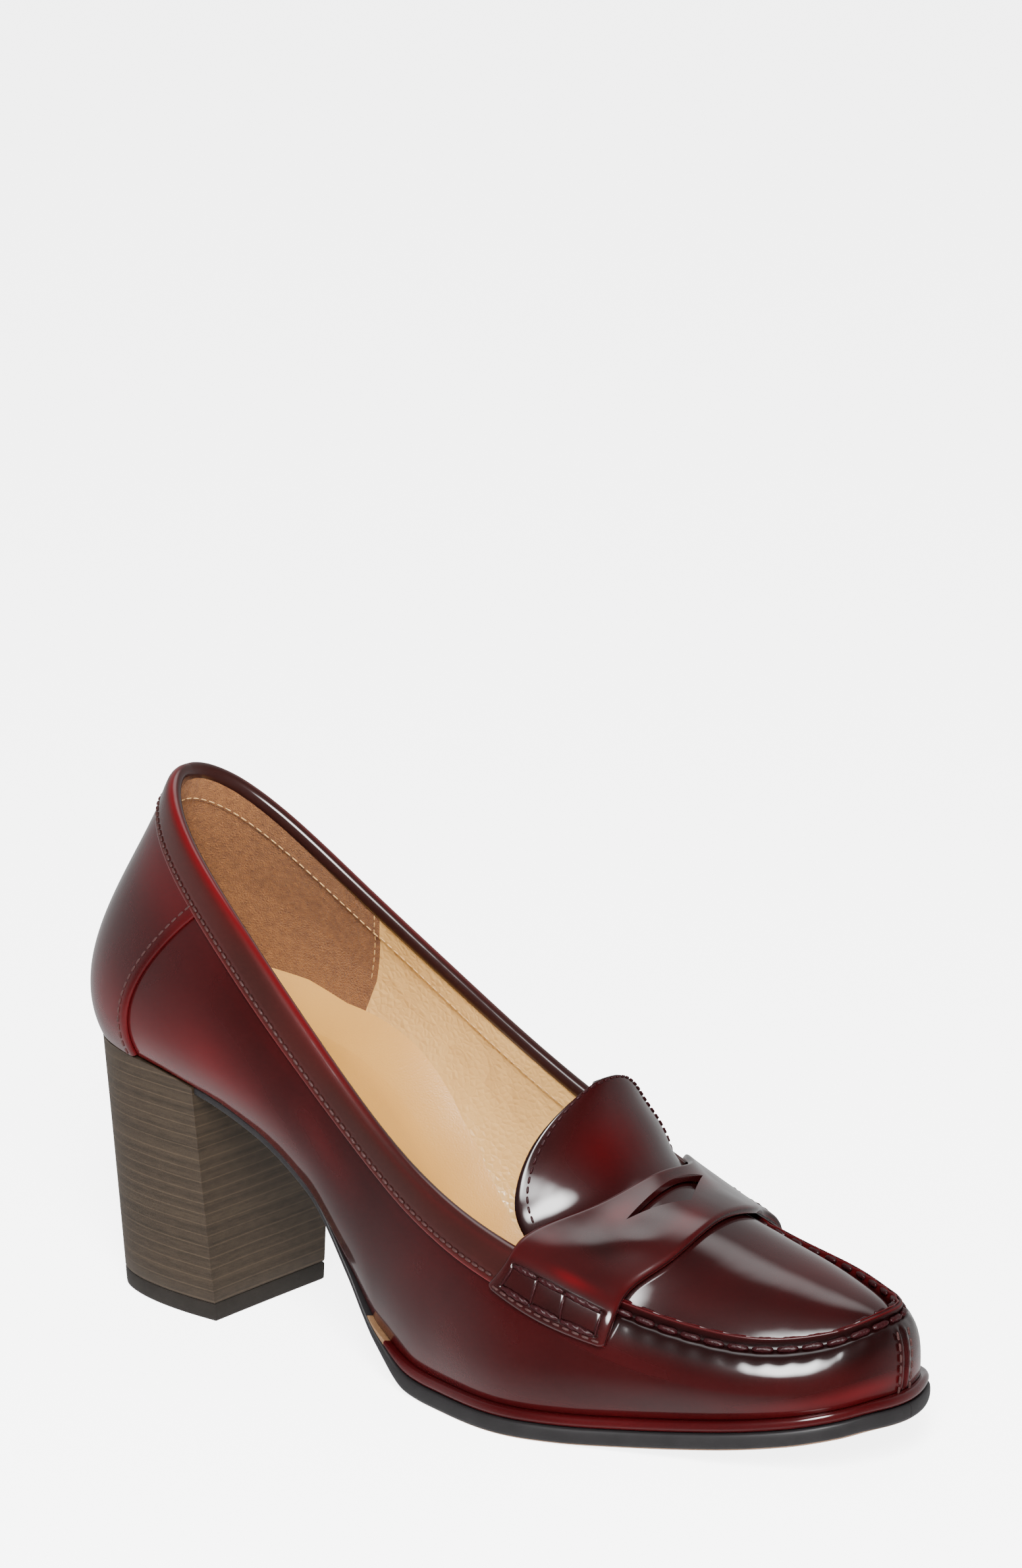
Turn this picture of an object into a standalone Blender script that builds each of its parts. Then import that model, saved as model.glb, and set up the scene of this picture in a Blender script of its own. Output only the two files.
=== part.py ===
# Loafer pump for the right foot: a block-heeled slip-on shoe with a hand-sewn
# moccasin seam, an apron that runs on into a tongue, and a saddle strap.
# +X runs to the toe, +Y to the inner side of the foot, +Z up. The tables give
# the last in fractions of its main sizes; lengths in the script are in mm.

import math

import bpy
import numpy as np

for old_object in list(bpy.data.objects):
    bpy.data.objects.remove(old_object, do_unlink=True)

MM = 0.001
GAP = 0.3

# Upper, sole, welt and insole share these steps round the last, so that their
# facets lie along each other
STEP = math.pi / 48.0

# Main sizes of the last and its heel
LENGTH = 220.0
BALL_WIDTH = 80.0
SEAT_HEIGHT = 63.0
BACK_HEIGHT = 126.0
BALL_STACK = 6.7
TOE_SPRING = 10.0

# Thickness of each layer
WALL = 1.8
OVERLAY = 1.1
APRON = 1.7
STRAP = 1.6
SOLE_WAIST = 2.4
SOLE_BALL = 4.2
WELT = 2.2
INSOLE = 2.4
TOP_LIFT = 4.3

# Reach of sole and welt past the feather line, where upper and sole meet, and
# where along the last that reach and the welt's thickness start and are full
EDGE_REACH = 2.4
EDGE_TUCK = 0.4
REACH_START = 0.34
REACH_FULL = 0.46
WELT_START = 0.43
WELT_FULL = 0.50

# Round ends of the feather line and of the topline
SEAT_RADIUS = 26.5
TOE_RADIUS = 20.5
COLLAR_RADIUS = 13.0
SEAM_RADIUS = 19.0

# The feather line: place along the last, centre line and half width in ball
# widths, rise of the arch in seat heights, lift of the toe in toe springs
FEATHER_NAMES = ("along", "centre", "half", "arch", "spring")
FEATHER_ROWS = (
    (0.0060, 0.000, 0.000, 1.000, 0.00),
    (0.1136, 0.000, 0.303, 0.970, 0.00),
    (0.2045, -0.004, 0.334, 0.905, 0.00),
    (0.2727, -0.011, 0.330, 0.805, 0.00),
    (0.3409, -0.022, 0.308, 0.610, 0.00),
    (0.4000, -0.034, 0.297, 0.315, 0.00),
    (0.4477, -0.040, 0.314, 0.100, 0.00),
    (0.5091, -0.034, 0.374, 0.008, 0.00),
    (0.5400, -0.028, 0.405, 0.000, 0.00),
    (0.6364, -0.006, 0.488, 0.000, 0.00),
    (0.7045, 0.019, 0.480, 0.000, 0.03),
    (0.7727, 0.035, 0.438, 0.000, 0.14),
    (0.8636, 0.031, 0.373, 0.000, 0.40),
    (0.9318, 0.023, 0.297, 0.000, 0.66),
    (0.9773, 0.017, 0.192, 0.000, 0.89),
    (1.0000, 0.015, 0.000, 0.000, 1.00),
)

# The top line: collar edge at the back, moccasin seam at the front, with its
# height on the outer and the inner side in back heights
TOP_NAMES = ("along", "centre", "half", "outer", "inner")
TOP_ROWS = (
    (0.0750, 0.019, 0.000, 1.000, 1.000),
    (0.1591, 0.006, 0.234, 0.885, 0.893),
    (0.2545, -0.012, 0.301, 0.766, 0.769),
    (0.3636, -0.021, 0.341, 0.607, 0.642),
    (0.4682, -0.028, 0.372, 0.463, 0.528),
    (0.5682, -0.031, 0.400, 0.373, 0.430),
    (0.6591, -0.031, 0.404, 0.321, 0.357),
    (0.7591, -0.018, 0.365, 0.262, 0.299),
    (0.8364, -0.011, 0.320, 0.237, 0.278),
    (0.8932, -0.005, 0.268, 0.230, 0.270),
    (0.9477, 0.005, 0.176, 0.242, 0.266),
    (0.9864, 0.015, 0.000, 0.268, 0.268),
)

# How far the wall swells past the straight line from feather to top line, low
# and high on the outer and the inner side, in mm
SWELL_NAMES = ("along", "low_outer", "high_outer", "low_inner", "high_inner")
SWELL_ROWS = (
    (0.00, 15.5, 1.0, 15.5, 1.0),
    (0.12, 13.5, 2.5, 13.5, 2.5),
    (0.23, 10.0, 4.5, 10.5, 4.0),
    (0.36, 7.5, 4.5, 9.5, 4.0),
    (0.48, 6.5, 6.0, 9.0, 5.0),
    (0.64, 6.0, 7.0, 5.5, 5.5),
    (0.77, 5.0, 7.5, 4.0, 5.0),
    (0.89, 4.5, 7.0, 2.5, 4.0),
    (0.96, 3.0, 5.0, 1.5, 3.2),
    (1.00, 1.5, 3.0, 1.5, 3.0),
)

# The vault of apron and tongue, from the tongue's tip to the toe: edge places
# and heights, half widths and crown in mm. Rows ahead of the strap take their
# edges from the seam and give the crown alone
TONGUE_NAMES = ("outer_x", "inner_x", "outer_y", "inner_y", "outer_z", "inner_z", "crown_x", "crown_z")
TONGUE_ROWS = (
    (139.3, 139.9, -3.5, 4.5, 73.0, 72.9, 140.1, 73.4),
    (137.0, 138.8, -12.0, 12.5, 68.6, 68.9, 141.0, 71.2),
    (134.6, 138.0, -18.5, 18.5, 62.6, 63.2, 142.4, 66.2),
    (133.0, 138.6, -22.8, 23.6, 55.6, 57.0, 144.7, 60.4),
    (133.4, 139.6, -25.8, 26.0, 48.2, 51.2, 148.6, 55.2),
    (138.0, 142.2, -27.4, 26.2, 41.2, 46.2, 155.0, 51.2),
)
CROWN_NAMES = ("along", "crown_x", "crown_z")
CROWN_ROWS = (
    (0.7000, 162.5, 48.2),
    (0.7600, 173.0, 45.4),
    (0.8150, 183.0, 42.4),
    (0.8650, 192.6, 39.8),
    (0.9100, 201.4, 37.4),
    (0.9500, 209.6, 35.2),
    (0.9760, 214.8, 33.4),
)

# The wall's edge is folded in along the moccasin seam, and the apron meets it
FOLD = 1.2
SEAM_DROP = 0.3

# Heel block: its foot, and how it grows to the seat
HEEL_BACK = 6.4
HEEL_BREAST = 45.0
HEEL_HALF = 20.7
BREAST_TOP = 41.8

# Saddle strap, from its back edge to its front edge: where it crosses the top
# line and the crown, and how far it runs down each wall
STRAP_NAMES = ("outer_end", "inner_end", "outer_drop", "inner_drop", "cross_outer", "cross_inner", "middle")
STRAP_ROWS = (
    (138.5, 140.0, 9.2, 9.0, 141.0, 142.0, 153.4),
    (147.9, 148.6, 10.2, 9.6, 148.0, 148.8, 158.4),
    (156.4, 156.8, 10.0, 9.4, 155.6, 155.8, 165.0),
    (165.6, 165.8, 9.0, 8.6, 166.4, 166.2, 172.4),
)

# Slot in the middle of the strap: a flat triangle that points to the toe
SLOT_BACK = 157.8
SLOT_POINT = 164.9
SLOT_MIDDLE = -2.0
SLOT_HALF = 15.2


def column(rows, names, name):
    return np.array([row[names.index(name)] for row in rows], dtype=float)


def spline(stations, values):
    """Smooth curve through a table's rows, straight at its two ends."""
    stations = np.asarray(stations, dtype=float)
    values = np.asarray(values, dtype=float)
    count = len(stations)
    step = np.diff(stations)
    matrix = np.eye(count)
    target = np.zeros(count)
    for row in range(1, count - 1):
        before = step[row - 1]
        after = step[row]
        matrix[row, row - 1:row + 2] = before, 2.0 * (before + after), after
        rise = (values[row + 1] - values[row]) / after
        target[row] = 6.0 * (rise - (values[row] - values[row - 1]) / before)
    bend = np.linalg.solve(matrix, target)

    def read(place):
        place = np.asarray(place, dtype=float)
        low = np.clip(np.searchsorted(stations, place) - 1, 0, count - 2)
        wide = step[low]
        left = (stations[low + 1] - place) / wide
        right = (place - stations[low]) / wide
        sag = (left ** 3 - left) * bend[low] + (right ** 3 - right) * bend[low + 1]
        return left * values[low] + right * values[low + 1] + sag * wide * wide / 6.0

    return read


def steady(stations, values):
    """Curve through a table's rows that never swings past them, so flats stay flat."""
    stations = np.asarray(stations, dtype=float)
    values = np.asarray(values, dtype=float)
    step = np.diff(stations)
    rise = np.diff(values) / step
    slope = np.zeros(len(stations))
    for row in range(1, len(stations) - 1):
        if rise[row - 1] * rise[row] > 0.0:
            weight = step[row - 1] + 2.0 * step[row], 2.0 * step[row - 1] + step[row]
            slope[row] = sum(weight) / (weight[1] / rise[row - 1] + weight[0] / rise[row])

    def read(place):
        place = np.clip(np.asarray(place, dtype=float), stations[0], stations[-1])
        low = np.clip(np.searchsorted(stations, place) - 1, 0, len(step) - 1)
        t = (place - stations[low]) / step[low]
        start = (1.0 + 2.0 * t) * (1.0 - t) ** 2 * values[low] + t * (1.0 - t) ** 2 * step[low] * slope[low]
        end = t * t * (3.0 - 2.0 * t) * values[low + 1] - t * t * (1.0 - t) * step[low] * slope[low + 1]
        return start + end

    return read


def turn_at(x, low, high):
    """Angle on the half circle that stands over the length from low to high."""
    share = np.clip((np.asarray(x, dtype=float) - low) / (high - low), 0.0, 1.0)
    return np.arccos(1.0 - 2.0 * share)


def mirrored(turn, values):
    """Smooth curve over the half turn, level at the back and at the toe."""
    stations = np.concatenate([[-turn[1]], turn, [2.0 * math.pi - turn[-2]]])
    return spline(stations, np.concatenate([[values[1]], values, [values[-2]]]))


def folded(angle):
    """Angle along the length, and the side: -1 outer, +1 inner."""
    angle = np.mod(np.asarray(angle, dtype=float), 2.0 * math.pi)
    outer = angle <= math.pi
    return np.where(outer, angle, 2.0 * math.pi - angle), np.where(outer, -1.0, 1.0)


class Rail:
    """Closed line round the shoe: angle 0 at the back, half a turn at the toe."""

    def __init__(self, rows, names, back_radius, toe_radius):
        along = column(rows, names, "along") * LENGTH
        self.low = along[0]
        self.high = along[-1]
        turn = turn_at(along, self.low, self.high)
        half = column(rows, names, "half") * BALL_WIDTH
        reach = self.high - self.low
        full = half.copy()
        full[1:-1] = half[1:-1] / np.sin(turn[1:-1])
        full[0] = math.sqrt(back_radius * reach / 2.0)
        full[-1] = math.sqrt(toe_radius * reach / 2.0)
        self.full = mirrored(turn, full)
        self.centre = mirrored(turn, column(rows, names, "centre") * BALL_WIDTH)

    def plan(self, angle):
        turn, side = folded(angle)
        x = self.low + (self.high - self.low) * (1.0 - np.cos(turn)) / 2.0
        return x, self.centre(turn) + side * self.full(turn) * np.sin(turn)

    def angle(self, x, side):
        turn = turn_at(x, self.low, self.high)
        return turn if side < 0 else 2.0 * math.pi - turn


FEATHER = Rail(FEATHER_ROWS, FEATHER_NAMES, SEAT_RADIUS, TOE_RADIUS)
TOP = Rail(TOP_ROWS, TOP_NAMES, COLLAR_RADIUS, SEAM_RADIUS)

feather_along = column(FEATHER_ROWS, FEATHER_NAMES, "along") * LENGTH
arch_curve = steady(feather_along, column(FEATHER_ROWS, FEATHER_NAMES, "arch"))
spring_curve = steady(feather_along, column(FEATHER_ROWS, FEATHER_NAMES, "spring"))
top_turn = turn_at(column(TOP_ROWS, TOP_NAMES, "along") * LENGTH, TOP.low, TOP.high)
outer_height = mirrored(top_turn, column(TOP_ROWS, TOP_NAMES, "outer") * BACK_HEIGHT)
inner_height = mirrored(top_turn, column(TOP_ROWS, TOP_NAMES, "inner") * BACK_HEIGHT)
swell_along = column(SWELL_ROWS, SWELL_NAMES, "along")
swell = {name: spline(swell_along, column(SWELL_ROWS, SWELL_NAMES, name)) for name in SWELL_NAMES[1:]}


def feather_height(x):
    """Height of the line where the upper meets what is under it."""
    return BALL_STACK + arch_curve(x) * (SEAT_HEIGHT - BALL_STACK) + spring_curve(x) * TOE_SPRING


def feather_point(angle):
    x, y = FEATHER.plan(angle)
    return np.stack([x, y, feather_height(x)], axis=-1)


def top_point(angle):
    x, y = TOP.plan(angle)
    turn, side = folded(angle)
    share = 0.5 + 0.5 * side * np.minimum(1.0, np.sin(turn) / 0.35)
    z = outer_height(turn) * (1.0 - share) + inner_height(turn) * share
    return np.stack([x, y, z], axis=-1)


def seam_share(angle):
    """0 along the collar, 1 along the moccasin seam."""
    x = top_point(angle)[..., 0]
    t = np.clip((x - 146.0) / 16.0, 0.0, 1.0)
    return t * t * (3.0 - 2.0 * t)


def wall_point(angle, rise):
    """Outer skin of the upper: rise 0 at the feather line, 1 at the top line."""
    step = 0.002
    foot = feather_point(angle)
    head = top_point(angle)
    ahead = feather_point(angle + step) + top_point(angle + step)
    behind = feather_point(angle - step) + top_point(angle - step)
    run = (ahead - behind)[..., :2]
    run = run / np.linalg.norm(run, axis=-1, keepdims=True)
    turn, side = folded(angle)
    along = (1.0 - np.cos(turn)) / 2.0
    low = np.where(side < 0, swell["low_outer"](along), swell["low_inner"](along))
    high = np.where(side < 0, swell["high_outer"](along), swell["high_inner"](along))
    out = 3.0 * rise * (1.0 - rise) ** 2 * low + 3.0 * rise * rise * (1.0 - rise) * high
    point = foot + (head - foot) * np.asarray(rise)[..., None]
    point[..., 0] += run[..., 1] * out
    point[..., 1] -= run[..., 0] * out
    return point


def skin(angle, rise, lift):
    """Point off the outer skin, lift mm along its outward direction."""
    angle = np.asarray(angle, dtype=float)
    rise = np.asarray(rise, dtype=float)
    step = 0.004
    around = wall_point(angle + step, rise) - wall_point(angle - step, rise)
    upward = wall_point(angle, np.minimum(rise + step, 1.0)) - wall_point(angle, np.maximum(rise - step, 0.0))
    out = np.cross(around, upward)
    out = out / np.linalg.norm(out, axis=-1, keepdims=True)
    return wall_point(angle, rise) + out * np.asarray(lift)[..., None]


def rise_below(angle, drop):
    """Rise of the point that lies drop mm below the top line."""
    length = np.linalg.norm(top_point(angle) - feather_point(angle), axis=-1)
    return 1.0 - drop / length


def material(name, colour, roughness):
    made = bpy.data.materials.new(name)
    made.use_nodes = True
    shader = made.node_tree.nodes["Principled BSDF"]
    shader.inputs["Base Color"].default_value = (*colour, 1.0)
    shader.inputs["Roughness"].default_value = roughness
    shader.inputs["Metallic"].default_value = 0.0
    return made


def shell(name, over, under, ring, colour, roughness):
    """Closed solid between two grids of points; a ring closes on its first row."""
    rows, columns = over.shape[:2]
    points = np.concatenate([over.reshape(-1, 3), under.reshape(-1, 3)]) * MM
    base = rows * columns
    faces = []
    for row in range(rows if ring else rows - 1):
        after = (row + 1) % rows
        for col in range(columns - 1):
            a = row * columns + col
            b = after * columns + col
            faces.append((a, b, b + 1, a + 1))
            faces.append((base + a, base + a + 1, base + b + 1, base + b))
        start = row * columns
        start_after = after * columns
        end = start + columns - 1
        end_after = start_after + columns - 1
        faces.append((start, base + start, base + start_after, start_after))
        faces.append((end, end_after, base + end_after, base + end))
    if not ring:
        last = (rows - 1) * columns
        for col in range(columns - 1):
            faces.append((col, col + 1, base + col + 1, base + col))
            faces.append((last + col, base + last + col, base + last + col + 1, last + col + 1))
    mesh = bpy.data.meshes.new(name)
    mesh.from_pydata(points.tolist(), [], faces)
    mesh.update()
    mesh.shade_smooth()
    mesh.set_sharp_from_angle(angle=math.radians(40.0))
    mesh.materials.append(material(name, colour, roughness))
    made = bpy.data.objects.new(name, mesh)
    bpy.context.scene.collection.objects.link(made)
    return made


def stations(first, last):
    """The shared steps from the angle first to the angle last, in radians."""
    return STEP * np.arange(math.ceil(first / STEP), math.floor(last / STEP) + 1)


def grid(firsts, seconds):
    return np.meshgrid(np.asarray(firsts, dtype=float), np.asarray(seconds, dtype=float), indexing="ij")


# Burgundy leathers, rubber, stacked heel and tan lining
BURGUNDY = (0.085, 0.008, 0.012)
BURGUNDY_DARK = (0.045, 0.006, 0.009)
CHARCOAL = (0.030, 0.028, 0.028)
STACK_BROWN = (0.075, 0.058, 0.042)
TAN = (0.560, 0.370, 0.210)


def make_upper():
    """One hollow wall, with a groove and a raised bead along the moccasin seam."""
    angles = stations(0.0, 2.0 * math.pi - 0.5 * STEP)
    rows = len(angles)
    # Drop below the top line, lift of groove and bead, and how far the edge is eased
    edge = ((5.6, 0.0, 0.0), (4.0, -0.5, 0.0), (2.5, 0.5, 0.0), (0.9, 0.6, 0.1), (0.0, 0.2, 0.4))
    low_rows = 8
    over = []
    under = []
    share = seam_share(angles)
    shoulder = rise_below(angles, edge[0][0])
    for low in range(low_rows):
        rise = shoulder * low / low_rows
        over.append(skin(angles, rise, np.zeros(rows)))
        under.append(skin(angles, rise, np.full(rows, -WALL)))
    for drop, bead, ease in edge:
        rise = rise_below(angles, drop)
        over.append(skin(angles, rise, bead * share - ease))
        fold = FOLD * share * min(1.0, (edge[0][0] - drop) / 2.0)
        under.append(skin(angles, rise, ease - WALL - fold))
    under[0][:, 2] = feather_height(under[0][:, 0])
    for inner, outer in zip(under, over):
        inner[:, 2] = np.maximum(inner[:, 2], under[0][:, 2])
        outer[:, 2] = np.maximum(outer[:, 2], over[0][:, 2])
    over = np.stack(over, axis=1)
    under = np.stack(under, axis=1)
    return shell("upper", over, under, True, BURGUNDY, 0.22)


def make_collar_band():
    """Facing strip along the topline, from one end of the strap to the other."""
    start = float(TOP.angle(136.0, -1))
    end = float(TOP.angle(136.5, 1))
    angles = np.linspace(end - 2.0 * math.pi, start, 56)
    around, drop = grid(angles, (8.3, 6.0, 3.4, 0.9))
    rise = rise_below(around, drop)
    over = skin(around, rise, np.full(around.shape, GAP + OVERLAY))
    under = skin(around, rise, np.full(around.shape, GAP))
    return shell("collar_band", over, under, False, BURGUNDY_DARK, 0.22)


def make_counter():
    """Overlay round the back of the heel, wider at the seat than under the band."""
    share, height = grid(np.linspace(-1.0, 1.0, 25), np.linspace(0.0, 1.0, 10))
    reach = 0.595 + 0.15 * height ** 1.6 + 0.05 * (1.0 - height) ** 3
    around = share * reach
    top = rise_below(around, 8.9)
    foot = 0.03
    rise = foot + (top - foot) * height
    over = skin(around, rise, np.full(around.shape, GAP + OVERLAY))
    under = skin(around, rise, np.full(around.shape, GAP))
    return shell("counter", over, under, False, BURGUNDY, 0.22)


def vault_rows():
    """Edge and crown points of apron and tongue, from tip to toe."""
    outer = []
    inner = []
    crown = []
    for row in TONGUE_ROWS:
        item = dict(zip(TONGUE_NAMES, row))
        outer.append((item["outer_x"], item["outer_y"], item["outer_z"]))
        inner.append((item["inner_x"], item["inner_y"], item["inner_z"]))
        crown.append((item["crown_x"], 0.5 * (item["outer_y"] + item["inner_y"]), item["crown_z"]))
    for row in CROWN_ROWS:
        item = dict(zip(CROWN_NAMES, row))
        edges = []
        for side in (-1, 1):
            angle = float(TOP.angle(item["along"] * LENGTH, side))
            edges.append(skin(angle, rise_below(angle, SEAM_DROP), -(WALL + FOLD + GAP)))
        outer.append(edges[0])
        inner.append(edges[1])
        crown.append((item["crown_x"], 0.5 * (edges[0][1] + edges[1][1]), item["crown_z"]))
    stations = np.arange(len(crown), dtype=float)
    curves = []
    for line in (outer, inner, crown):
        line = np.array(line, dtype=float)
        curves.append([spline(stations, line[:, axis]) for axis in range(3)])
    return curves, stations[-1]


VAULT, VAULT_END = vault_rows()


def vault_point(station, across):
    """Top skin of apron and tongue: across runs from -1 at the outer edge to 1."""
    outer, inner, crown = [np.stack([curve(station) for curve in line], axis=-1) for line in VAULT]
    across = np.asarray(across)[..., None]
    middle = 0.5 * (outer + inner)
    return middle + 0.5 * (inner - outer) * across + (crown - middle) * (1.0 - np.abs(across) ** 2.2)


def vault_skin(station, across, lift):
    station = np.asarray(station, dtype=float)
    across = np.asarray(across, dtype=float)
    step = 0.01
    ahead = vault_point(np.minimum(station + step, VAULT_END), across)
    behind = vault_point(np.maximum(station - step, 0.0), across)
    inward = vault_point(station, np.minimum(across + step, 1.0))
    outward = vault_point(station, np.maximum(across - step, -1.0))
    up = np.cross(ahead - behind, inward - outward)
    up = up / np.linalg.norm(up, axis=-1, keepdims=True)
    return vault_point(station, across) + up * np.asarray(lift)[..., None]


def make_apron():
    """The plug inside the moccasin seam, with the tongue behind the strap."""
    station, across = grid(np.linspace(0.0, VAULT_END, 31), np.linspace(-1.0, 1.0, 13))
    over = vault_skin(station, across, np.zeros(station.shape))
    under = vault_skin(station, across, np.full(station.shape, -APRON))
    return shell("apron", over, under, False, BURGUNDY, 0.2)


def strap_point(share, across):
    """Under skin of the strap: share 0 at its back edge, 1 at its front edge."""
    stations = np.linspace(0.0, 1.0, len(STRAP_ROWS))
    read = {name: spline(stations, column(STRAP_ROWS, STRAP_NAMES, name)) for name in STRAP_NAMES}
    crown_x = VAULT[2][0]
    finer = np.linspace(0.0, VAULT_END, 241)
    knots = np.array([-1.0, -0.86, -0.72, -0.4, 0.0, 0.4, 0.72, 0.86, 1.0])
    points = []
    for value in share:
        at = {name: float(read[name](value)) for name in STRAP_NAMES}
        station = float(np.interp(at["middle"], crown_x(finer), finer))
        edge_station = float(np.interp(0.5 * (at["cross_outer"] + at["cross_inner"]), VAULT[0][0](finer[80:]), finer[80:]))
        line = []
        for side, end, cross, fall in (
            (-1, at["outer_end"], at["cross_outer"], at["outer_drop"]),
            (1, at["inner_end"], at["cross_inner"], at["inner_drop"]),
        ):
            low = float(TOP.angle(end, side))
            high = float(TOP.angle(cross, side))
            foot = skin(low, rise_below(low, fall), GAP)
            knee = skin(high, rise_below(high, 3.4), GAP + 1.1)
            brow = skin(high, rise_below(high, 0.0), GAP) + np.array([0.0, 0.0, 0.9])
            brow[1] -= side * 1.2
            flank = vault_skin(0.4 * edge_station + 0.6 * station, side * 0.62, GAP + 0.7)
            line.append((foot, knee, brow, flank))
        centre = vault_skin(station, 0.0, GAP + 0.4)
        path = [line[0][0], line[0][1], line[0][2], line[0][3], centre, line[1][3], line[1][2], line[1][1], line[1][0]]
        path = np.array(path, dtype=float)
        points.append(np.stack([spline(knots, path[:, axis])(across) for axis in range(3)], axis=-1))
    return np.array(points)


def make_strap():
    share = np.linspace(0.0, 1.0, 7)
    across = np.linspace(-1.0, 1.0, 33)
    under = strap_point(share, across)
    along = np.gradient(under, axis=0)
    over_way = np.gradient(under, axis=1)
    up = np.cross(along, over_way)
    up = up / np.linalg.norm(up, axis=-1, keepdims=True)
    return shell("saddle_strap", under + up * STRAP, under, False, BURGUNDY, 0.2)


def make_slot_cutter():
    """Upright three-cornered prism that cuts the slot through the strap."""
    corners = (
        (SLOT_BACK, SLOT_MIDDLE - SLOT_HALF),
        (SLOT_POINT, SLOT_MIDDLE),
        (SLOT_BACK, SLOT_MIDDLE + SLOT_HALF),
    )
    low = 0.25 * BACK_HEIGHT
    high = 0.55 * BACK_HEIGHT
    points = [(x * MM, y * MM, z * MM) for z in (low, high) for x, y in corners]
    faces = [(2, 1, 0), (3, 4, 5), (0, 1, 4, 3), (1, 2, 5, 4), (2, 0, 3, 5)]
    mesh = bpy.data.meshes.new("slot_cutter")
    mesh.from_pydata(points, [], faces)
    cutter = bpy.data.objects.new("slot_cutter", mesh)
    cutter.hide_render = True
    cutter.display_type = "WIRE"
    bpy.context.scene.collection.objects.link(cutter)
    return cutter


def cut(piece, cutter):
    modifier = piece.modifiers.new("slot", "BOOLEAN")
    modifier.operation = "DIFFERENCE"
    modifier.solver = "EXACT"
    modifier.object = cutter


def plate(turns, inset):
    """Outer and inner edge of a plate that keeps inset mm inside the feather line."""
    edges = []
    for side in (-1, 1):
        angle = turns if side < 0 else 2.0 * math.pi - turns
        step = 0.002
        point = feather_point(angle)
        run = feather_point(angle + step) - feather_point(angle - step)
        run = run[..., :2] / np.linalg.norm(run[..., :2], axis=-1, keepdims=True)
        point[..., 0] -= run[..., 1] * inset
        point[..., 1] += run[..., 0] * inset
        edges.append(point)
    return edges


def across_plate(edges, height, columns):
    """Grid from the outer to the inner edge, on the surface that height(x) gives."""
    share = np.linspace(0.0, 1.0, columns)[None, :, None]
    points = edges[0][:, None, :] * (1.0 - share) + edges[1][:, None, :] * share
    points[..., 2] = height(points[..., 0])
    return points


def level(height):
    """A flat surface for across_plate."""
    return lambda x: np.full_like(x, height)


def eased(value, start, full):
    t = np.clip((value - start) / (full - start), 0.0, 1.0)
    return t * t * (3.0 - 2.0 * t)


def welt_height(x):
    """Thickness of the welt: nothing in the waist, full from the ball forward."""
    return WELT * eased(x / LENGTH, WELT_START, WELT_FULL)


def edge_reach(x):
    """Reach of the sole's edge: tucked under in the waist, out under the ball."""
    return (EDGE_REACH + EDGE_TUCK) * eased(x / LENGTH, REACH_START, REACH_FULL) - EDGE_TUCK


def sole_top(x):
    height = welt_height(x)
    return feather_height(x) - GAP - height - GAP * np.minimum(1.0, height / WELT)


def sole_bottom(x):
    """Underside of the outsole, flat on the floor under the ball."""
    base = sole_top(x) - SOLE_WAIST
    base_ball = BALL_STACK - 2.0 * GAP - WELT - SOLE_BALL
    thicker = (SOLE_BALL - SOLE_WAIST) * welt_height(x) / WELT
    return base - thicker - base_ball


def make_outsole():
    """Rubber sole from the heel breast to the toe, with its edge eased at the foot."""
    first = float(turn_at(BREAST_TOP + GAP, FEATHER.low, FEATHER.high))
    turns = np.append(first, stations(first + 0.5 * STEP, math.pi - 0.5 * STEP))
    x = feather_point(turns)[:, 0]
    reach = edge_reach(x)
    top_edges = plate(turns, -reach)
    low_edges = plate(turns, 0.8 - reach)
    for edge in top_edges + low_edges:
        edge[0, 0] = x[0]
    over = across_plate(top_edges, sole_top, 3)
    under = across_plate(low_edges, sole_bottom, 3)
    return shell("outsole", over, under, False, CHARCOAL, 0.55)


def make_welt():
    """Rand strip round the forefoot, between the outsole and the wall."""
    first = float(turn_at((WELT_START + 0.03) * LENGTH, FEATHER.low, FEATHER.high))
    angles = stations(first, 2.0 * math.pi - first)
    step = 0.002
    rim = feather_point(angles)
    run = feather_point(angles + step) - feather_point(angles - step)
    run = run[..., :2] / np.linalg.norm(run[..., :2], axis=-1, keepdims=True)
    reach = edge_reach(rim[:, 0]) - 0.3
    offsets = np.stack([reach, np.zeros(len(angles)), np.full(len(angles), -WALL)], axis=1)
    over = np.repeat(rim[:, None, :], 3, axis=1)
    over[..., 0] += run[:, None, 1] * offsets
    over[..., 1] -= run[:, None, 0] * offsets
    under = over.copy()
    over[..., 2] = feather_height(over[..., 0]) - GAP
    under[..., 2] = sole_top(over[..., 0]) + GAP
    over[:, 0, 2] -= 0.35 * welt_height(rim[:, 0]) / WELT
    return shell("welt", over, under, False, BURGUNDY, 0.25)


def make_insole():
    """Insole board and sock, inside the wall from the seat to the toe."""
    turns = stations(0.12, math.pi - 0.12)
    edges = plate(turns, WALL + 0.6)
    over = across_plate(edges, lambda x: feather_height(x) + INSOLE, 5)
    over[..., 2] -= 0.5 * np.cos(np.linspace(-0.5 * math.pi, 0.5 * math.pi, 5))[None, :]
    under = across_plate(edges, lambda x: np.where(x < BREAST_TOP, feather_height(x), sole_top(x) + 1.5 * GAP), 5)
    return shell("insole", over, under, False, TAN, 0.5)


def heel_outline(share):
    """D-shaped foot of the heel: share 0 at its back, 1 at the breast."""
    x = HEEL_BREAST + (HEEL_BACK - HEEL_BREAST) * np.cos(share * 0.5 * math.pi)
    t = (HEEL_BREAST - x) / (HEEL_BREAST - HEEL_BACK)
    return x, HEEL_HALF * (1.0 - t ** 2.1) ** (1.0 / 2.7)


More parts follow.
